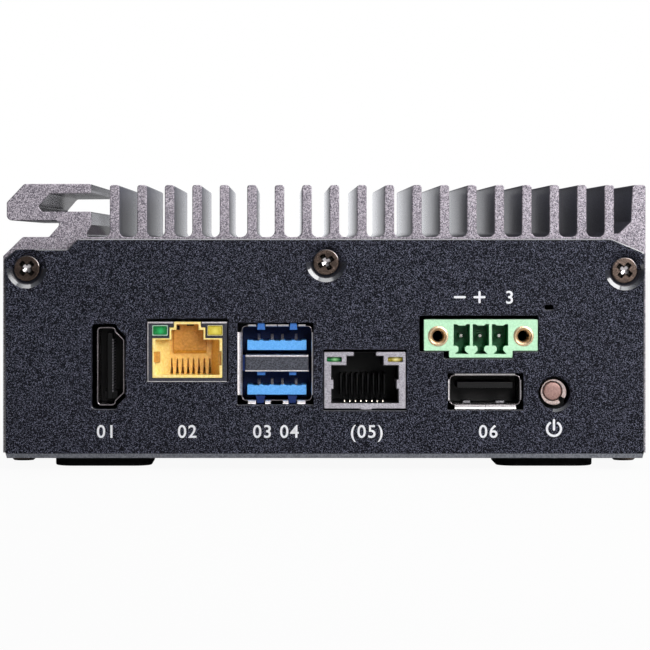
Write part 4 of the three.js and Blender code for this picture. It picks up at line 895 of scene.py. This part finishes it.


# Raised jack: glossy shield with strips of brighter steel along its folded edges as a painted highlight,
# gold housing with its latch, comb and windows
makePiece("upperJackShield", [
    milled(shieldOutline(upperJack), upperJack["depths"], lampPockets(upperJack), 0.08, steps=2),
    *[slotted(block(x, (-41.75, -41.25), z, 0.08), 1) for x, z in (
        ((-32.4, -27.7), (26.58, 26.93)), ((-22.5, -17.8), (26.58, 26.93)), ((-32.4, -32.22), (15.9, 26.7)),
        ((-32.35, -17.85), (15.88, 16.04)),
    )],
], [darkShield, sheetSteel])
comb = milled(rectangle(-31, -19.1, 17.1, 23.6), (-36.8, -28), [{
    "loop": roundedOutline([(c - 0.27, 17.2), (c + 0.27, 17.2), (c + 0.09, 20), (c - 0.09, 20)]),
    "edge": 0.05, "floor": -35.4,
} for c in upperJack["contacts"]], 0.05)
cavity = {"loop": goldCavity(), "edge": 0.12, "floor": -28}
makePiece("upperJackHousing", [
    milled(housingOutline(upperJack, -0.03), (-41.66, -27.2), [cavity], 0.1), leaningWall(-31.0, -28.45),
    # right leaning wall and comb in the honey copy: painted shade
    slotted(leaningWall(-19.2, -20.75), 3), slotted(comb, 3),
    # ledge, mould ring, latch blocks and side windows in the orange brown copy: painted shade
    slotted(bar([(-37.45, 21.56), (-36.95, 20.95), (-28, 20.95), (-28, 21.56)], (-27.7, -21.7), 0.04), 1),
    slotted(turned([(1.45, -37.52), (1.55, -37.56), (1.65, -37.52)], (-24.65, 23.66), 40), 1),
    *[slotted(block(x, y, z, edge), slot) for slot, edge, x, y, z in (
        (1, 0.1, (-27.75, -21.65), (-37.5, -27.9), (21.5, 26.36)),
        (1, 0.1, (-28.2, -21.0), (-37.3, -27.9), (23.5, 25.6)),
        (1, 0.06, (-31.35, -30.1), (-40.95, -35), (19.45, 21.4)),
        (1, 0.06, (-19.45, -18.85), (-40.95, -35), (18.9, 21.5)),
        (2, 0.05, (-27.1, -26.6), (-37.6, -37.2), (25.3, 26.1)),
        (2, 0.05, (-25.3, -24.0), (-37.6, -37.2), (26.05, 26.3)),
    )],
], [goldPlastic, goldDeepShadedPlastic, blackPlastic, goldShadedPlastic])
makePiece("upperJackContacts", [
    bar([(-36.7, 17.25), (-33.8, 19.8), (-33.5, 19.8), (-36.2, 17.25)], (c - 0.08, c + 0.08), 0.03)
    for c in upperJack["contacts"]
], [contactBrown])


# Lamp: pale light guide with the coloured lens in it
def lamp(jack, side, border, face):
    (left, right), low, high = jack["lamps"][side], jack["lampLow"] + 0.06, jack["lampHigh"] - 0.06
    lens = rectangle(left + border, right - border, low + border * 0.8, high - border * 0.8, 0.24, 3)
    guide = rectangle(left + 0.05, right - 0.05, low, high, 0.12, 2)
    return [
        milled(guide, (face, face + 2.5), [{"loop": lens, "edge": 0.05, "floor": face + 0.9}], 0.06),
        slotted(milled(shifted(anticlockwise(lens), 0.02), (face + 0.2, face + 1), edge=0.2, steps=4), 1),
    ]


makePiece("upperJackLampLeft", lamp(upperJack, 0, 0.16, -41.4), [greenGuide, greenLens])
makePiece("upperJackLampRight", lamp(upperJack, 1, 0.12, -41.4), [yellowGuide, yellowLens])

# Lower jack: satin shield with spring tabs, black housing, contacts shown at the floor
makePiece("lowerJackShield", [
    milled(shieldOutline(lowerJack, 0.38), lowerJack["depths"], lampPockets(lowerJack), 0.14),
    block((6.46, 8.65), (-41.78, -41.4), (10.78, 11.32), 0.16),
], [satinShield])
lowerCavity = {
    "x": lowerJack["x"], "half": 5.95, "low": 12.2, "high": 18.75, "stepHalf": 3.2, "stepTop": 20.45,
    "notchHalf": 1.85, "top": 21.25,
}
cavity = {"loop": housingOutline(lowerCavity), "edge": 0.08, "floor": -28}
makePiece("lowerJackHousing", [
    milled(housingOutline(lowerJack, -0.03), (-41.2, -27.2), [cavity], 0.06),
    *[block((c - 0.18, c + 0.18), (-34, -28), (13.2, 17.2), 0.08) for c in spread(7.15, 1.004, 9)],
], [blackPlastic])
makePiece("lowerJackContacts", [
    slotted(bar(section, (c - half, c + half), edge), slot) for slot, half, edge, section in (
        (0, 0.13, 0.05, [(-40.9, 12.22), (-40.85, 12.5), (-40.3, 12.6), (-39.6, 12.22)]),
        (1, 0.12, 0.03, [(-40.2, 12.22), (-33, 16.5), (-32.8, 16.4), (-39.8, 12.22)]),
    ) for c in lowerJack["contacts"]
], [contactGold, contactDark])
makePiece("lowerJackLampLeft", lamp(lowerJack, 0, 0.06, -41.1), [greenLensLow] * 2)
makePiece("lowerJackLampRight", lamp(lowerJack, 1, 0.06, -41.1), [yellowLensLow] * 2)

# Double serial port: drawn sleeve, flared lips, divider and two blue tongues
topLips = (-14.0, -12.55), (-10.76, -8.7), (-8.53, -6.57), (-4.78, -3.49)
bottomLips = (-14.0, -12.55), (-10.88, -9.87), (-7.63, -6.63), (-5.0, -3.49)
makePiece("doublePortShell", [
    slotted(sleeve(rectangle(-15.025, -2.435, 12.59, 26.02, 0.65, 6), 0.14, (-41.1, -24.1)), 1),
    flared("left", -15.06, 0.85, (13.5, 24.98)), flared("right", -2.43, 0.29, (13.5, 24.98)),
    *[flared("top", 25.98, 0.4, span) for span in topLips],
    *[flared("bottom", 12.57, 0.69, span) for span in bottomLips],
    slotted(block((-14.48, -2.93), (-41.3, -30), (17.9, 20.7), 0.1), 2),
    *[block((-14.5, -2.91), (-41.42, -34), z, 0.15) for z in ((20.42, 20.83), (17.76, 18.06))],
], [sheetSteel, sleeveSteel, dividerSteel])


# Tongue of a serial port, with shallow notches along its upper edge, given from left to right
def notchedTongue(x, z, y, notches=()):
    corners = [(x[0], z[0], 0.15), (x[1], z[0], 0.15), (x[1], z[1], 0.15)]
    for c in notches[::-1]:
        corners += [(c + 0.64, z[1]), (c + 0.5, z[1] - 0.14), (c - 0.5, z[1] - 0.14), (c - 0.64, z[1])]
    return milled(roundedOutline(corners + [(x[0], z[1], 0.15)], 3), y, edge=0.1)


# Block whose sides come in by one taper at the bottom and another at the top
def trapezoid(x, y, z, low, high):
    (x0, x1), (z0, z1) = x, z
    return milled([(x0 + low, z0), (x1 - low, z0), (x1 - high, z1), (x0 + high, z1)], y, edge=0.06)


notches = (-12.55, -10.7, -8.65, -6.65, -4.75)
makePiece("doublePortInsulator", [
    *[notchedTongue((-14.155, -3.305), z, (-40.4, -28), notches) for z in ((13.5, 15.35), (21.67, 23.52))],
    # tabs, the left block and the back in the darker copies of the blue: painted shade
    *[slotted(trapezoid(x, y, z, low, high), slot) for slot, y, z, low, high, pair in (
        (1, (-41.45, -37), (25.42, 26.66), 0, 0.12, ((-12.33, -10.88), (-6.4, -5.0))),
        (1, (-40.9, -37), (17.1, 17.66), 0, 0, ((-12.33, -10.88), (-6.46, -5.18))),
        (2, (-41.3, -37), (12.0, 13.36), 0.25, 0, ((-12.6, -10.88), (-6.75, -5.06))),
    ) for x in pair],
    slotted(block((-14.98, -14.5), (-40.9, -29), (17.9, 20.75), 0.06), 2),
    slotted(milled(rectangle(-14.99, -2.47, 12.62, 25.99, 0.6, 4), (-33.5, -24.2), edge=0.1), 2),
], [bluePlastic, shadedBluePlastic, deepShadedBluePlastic])


# Bent spring contact lying on a tongue at height z, its hump toward the mouth
def springContact(c, z):
    return bar(roundedOutline([
        (-39.6, z), (-39.1, z + 1.15, 0.3), (-38.3, z + 1.15, 0.3), (-37.2, z + 0.2, 0.2), (-29.4, z + 0.2),
        (-29.4, z),
    ], 3), (c - 0.25, c + 0.25), 0.04)


makePiece("doublePortContacts", [
    springContact(c, z) for z in (15.33, 23.5) for c in (-12.0, -9.6, -7.7, -5.2)
], [contactDark])

# Single serial port
makePiece("singlePortShell", [
    slotted(sleeve(rectangle(23.005, 35.655, 11.82, 16.99, 0.7, 6), 0.16, (-41.1, -27.6)), 1),
    flared("left", 22.99, 0.36, (12.5, 16.33)), flared("right", 35.64, 0.28, (12.6, 16.3)),
    flared("top", 17.05, 0.33, (23.81, 34.83)),
    *[flared("bottom", 11.82, 0.86, span) for span in ((23.81, 29.38), (29.47, 34.98))],
], [sheetSteel, sleeveSteel])
makePiece("singlePortInsulator", [
    notchedTongue((24.3, 34.5), (14.68, 15.84), (-40.3, -31)),
    milled(rectangle(23.05, 35.6, 11.87, 16.94, 0.6, 4), (-32, -27.7), edge=0.1),
], [blackPlastic])
makePiece("singlePortSprings", [
    block(x, (-40.2, -36), (11.9, 12.45), 0.15) for x in ((25.28, 26.75), (31.26, 32.94))
], [contactDark])


# Power terminal: mint header with three pockets, knurled brass inserts and three pins. A pocket has a wide
# upper part, a neck and a foot.
def keyedPocket(c):
    half, neck, top, low = (terminal[key] for key in ("pocketHalf", "neck", "pocketTop", "pocketLow"))
    return roundedOutline(bothSides(c, [
        (terminal["footHalf"], terminal["footLow"]), (neck, terminal["footTop"], 0.1),
        (neck, low - 0.3, 0.1), (neck + 0.3, low), (half, low), (half, top), (0.95, top, 0.1),
        (0.6, top - 0.25, 0.3),
    ]), 3)


# The deep walls and floors of the pockets take the darker green copy: painted shade
def headerRule(x, y, z, nx, ny, nz):
    pocket = (abs(x - terminal["x"]) < 5.1) & (z > 20.9) & (z < 26.6)
    return pocket & (y > terminal["face"] + 0.12) & (y < terminal["floor"] + 0.1)


middle, poles = terminal["middle"], spread(terminal["x"], terminal["pitch"], 3)
inserts = {"Left": terminal["x"] - terminal["insert"], "Right": terminal["x"] + terminal["insert"]}
pockets = [{"loop": keyedPocket(c), "edge": 0.07, "floor": terminal["floor"]} for c in poles]
pockets += [{"loop": circle((x, middle), 1.86), "edge": 0.04} for x in inserts.values()]
header = milled(terminalOutline(0.25), (terminal["face"], terminal["back"]), pockets, edge=0.14)
repaint(makePiece("terminalHeader", [header], [mintPlastic, pocketShadePlastic]), headerRule)
threaded = [
    (1.84, -34.8), (1.6, -34.8), (1.0, -35.1), (1.0, -41.2), (1.02, -41.3), (1.42, -41.74), (1.55, -41.8),
    (1.84, -41.72),
]
knurl = {"rows": (0, 7), "depth": 0.06, "count": 36}
for hand, x in inserts.items():
    insert = turned(threaded, (x, middle), 144, knurl)
    makePiece("terminalInsert" + hand, [insert], [brass])
pins = [rectangle(c - 0.4, c + 0.4, middle - 0.4, middle + 0.4, 0.08, 2) for c in poles]
pins = [milled(pin, (-39.1, -33.9), edge=0.22, steps=2) for pin in pins]
makePiece("terminalPins", pins, [cellSteel])

# Power button: cap with a soft edge, and the ring of the switch, cut away at its lower right
cap, capFront, capRear, x, z = (button[key] for key in ("cap", "capFront", "capRear", "x", "z"))
rim = arc((cap - 0.3, capFront + 0.3), 0.3, -90, 0, 5)
profile = [(0, capFront - 0.03), (0.8, capFront - 0.015), *rim.tolist(), (cap, capRear), (0, capRear)]
capShell = turned(profile, (x, z), 56)
makePiece("powerButtonCap", [capShell], [buttonPlastic], ["power_button"], "button")
ring = np.concatenate([
    arc((x + 0.2, z - 0.2), button["ringOuter"] + 0.05, -30, 302, 60),
    arc((x, z), button["ringInner"] - 0.05, 305, -33, 60),
])
makePiece("powerButtonRing", [
    milled(ring, (button["ringFront"], button["ringRear"]), edge=0.12, backEdge=0.05),
], [clearPlastic])
print("ports ready")


# Marks, a hair in front of the panels
marks = {"front": -41.985, "height": 2.3, "capShare": 0.7, "row": 5.74, "width": 0.42}


# Plain number in the built-in font, laid flat on the panel
def printed(name, words, x, z):
    curve = bpy.data.curves.new(name, "FONT")
    curve.body, curve.size, curve.align_x = words, marks["height"] / marks["capShare"] * mm, "CENTER"
    curve.space_character, curve.offset = 1.15, 0.04 * mm
    source = placed(name, curve)
    flat = bpy.data.meshes.new_from_object(source.evaluated_get(bpy.context.evaluated_depsgraph_get()))
    points = np.empty(len(flat.vertices) * 3)
    flat.vertices.foreach_get("co", points)
    points = points.reshape(-1, 3)[:, [0, 2, 1]] * (1, 0, 1) + np.array([x, marks["front"], z]) * mm
    flat.vertices.foreach_set("co", points.ravel())
    bpy.data.objects.remove(source)
    bpy.data.curves.remove(curve)
    flat.materials.clear()
    flat.materials.append(whiteInk)
    flat.update()
    mark = placed(name, flat)
    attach(mark, "case")


for words, x in {"01": -39.9, "02": -25.1, "03 04": -8.9, "(05)": 7.7, "06": 29.9}.items():
    printed("mark" + "".join(c for c in words if c.isdigit()), words, x, marks["row"])
printed("markThirdPole", "3", 33.8, 30.25)


# Stroke of even width along a path with round ends: the path moved to both sides, half circles between
def stroke(path, width):
    path = np.array(path, float)
    along = unit(np.gradient(path, axis=0))
    left = np.stack([-along[:, 1], along[:, 0]], 1) * width / 2
    a0 = math.degrees(math.atan2(*left[0][::-1]))
    a1 = math.degrees(math.atan2(*-left[-1][::-1]))
    ends = [arc(spot, width / 2, a, a + 180)[1:-1] for spot, a in ((path[-1], a1), (path[0], a0))]
    return np.concatenate([path - left, ends[0], (path + left)[::-1], ends[1]])


for name, paths in {
    "markMinus": [[(23.8, 31.4), (25.6, 31.4)]],
    "markPlus": [[(27.4, 31.4), (29.2, 31.4)], [(28.3, 30.5), (28.3, 32.3)]],
    "markPower": [arc((41.9, 7.35), 1.28, 125, 415, 40), [(41.9, 8.95), (41.9, 7.2)]],
}.items():
    makePiece(name, [
        milled(stroke(path, marks["width"]), (-41.995 + 0.002 * i, -41.97)) for i, path in enumerate(paths)
    ], [whiteInk])
print("marks ready")


# Inside: CAD nodes that keep their mesh
corners = [end + "_" + hand for end in ("front", "rear") for hand in ("left", "right")]
inside = {
    millFinish: ["heat_block"], laminate: ["mainboard", "power_board"], padSilicone: ["thermal_pad"],
    cellSteel: ["coin_cell"], chipResin: ["processor", "storage_module"],
    blackPlastic: ["storage_socket", "board_link", "upper_jack_riser", "power_switch"],
    brass: ["storage_post"] + ["standoff_" + corner for corner in corners],
    screwNickel: [kind + "_screw_" + corner for kind in ("board", "bottom") for corner in corners],
}
for material, names in inside.items():
    for name in names:
        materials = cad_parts[name].data.materials
        materials.clear()
        materials.append(material)
print("inside ready")


# Camera, lights and floor, in metres
cameraData = bpy.data.cameras.new("camera")
cameraData.lens, cameraData.sensor_width = 172.5, 36
cameraData.shift_x, cameraData.shift_y = 0.0646, -0.1262
scene.camera = placed("camera", cameraData)
scene.camera.location = (-0.0076, -0.611, 0.0413)
scene.camera.rotation_euler = (math.pi / 2, 0, 0)


# Square area light turned toward a target
def softbox(name, place, size, power, target=(0, 0, 0.025)):
    light = bpy.data.lights.new(name, "AREA")
    light.shape, light.size, light.size_y, light.energy = "RECTANGLE", size, size, power
    box = placed(name, light)
    box.location = place
    box.rotation_euler = (Vector(target) - Vector(place)).to_track_quat("-Z", "Y").to_euler()


softbox("edgeLight", (0.75, 0.0, 0.75), 0.8, 9)
softbox("topLight", (0, 0.05, 0.9), 0.7, 4)
softbox("frontLight", (0.25, -0.9, 0.3), 0.35, 4.1)
softbox("nearLight", (0.19, -0.24, 0.17), 0.12, 0.52)


# Shader seen as plain white to a share by the camera, and as itself by everything else
def whitened(tree, own, kind, share):
    white = addNode(tree, kind, {"Color": (1, 1, 1, 1), "Strength": 1.0}).outputs[0]
    seen = addNode(tree, "LightPath").outputs["Is Camera Ray"]
    if share < 1:
        seen = addNode(tree, "Math", {0: seen, 1: share}, operation="MULTIPLY").outputs[0]
    return addNode(tree, "MixShader", {0: seen, 1: own, 2: white}).outputs[0]


# World: white to the camera, white behind the object, and a dim grey room on the other sides
world = bpy.data.worlds.new("studio")
scene.world = world
world.use_nodes = True
sky = world.node_tree
sky.nodes.clear()
direction = addNode(sky, "TexCoord").outputs["Generated"]
height = addNode(sky, "SeparateXYZ", {0: direction}).outputs["Z"]
card = addNode(sky, "VectorMath", {0: direction, 1: (-0.016, 0.9998, -0.012)}, operation="DOT_PRODUCT")
behind = {0: card.outputs["Value"], 1: 0.9964, 2: 0.9998, 3: 0.03, 4: 1.45}
backward = addNode(sky, "MapRange", behind, interpolation_type="SMOOTHSTEP").outputs[0]
above = {0: height, 1: 0.4, 2: 0.95, 3: 0, 4: 0.35}
upward = addNode(sky, "MapRange", above, interpolation_type="SMOOTHSTEP").outputs[0]
strength = addNode(sky, "Math", {0: backward, 1: upward}, operation="MAXIMUM").outputs[0]
room = addNode(sky, "Background", {"Color": (0.95, 0.96, 1, 1), "Strength": strength}).outputs[0]
addNode(sky, "OutputWorld", {0: whitened(sky, room, "Background", 1)})

# Pale floor that keeps the shadow: to the camera a share of it glows white
floorMaterial = bpy.data.materials.new("paleFloor")
floorMaterial.use_nodes = True
tree = floorMaterial.node_tree
tree.nodes.clear()
matt = addNode(tree, "BsdfDiffuse", {"Color": (0.4, 0.4, 0.4, 1)}).outputs[0]
addNode(tree, "OutputMaterial", {0: whitened(tree, matt, "Emission", 0.94)})
floorMesh = bpy.data.meshes.new("floor")
half, low = 4, -0.00005
corners = [(-half, -half, low), (half, -half, low), (half, half, low), (-half, half, low)]
floorMesh.from_pydata(corners, [], [(0, 1, 2, 3)])
floorMesh.materials.append(floorMaterial)
floor = placed("floor", floorMesh)

bpy.context.scene.view_settings.view_transform = "Standard"
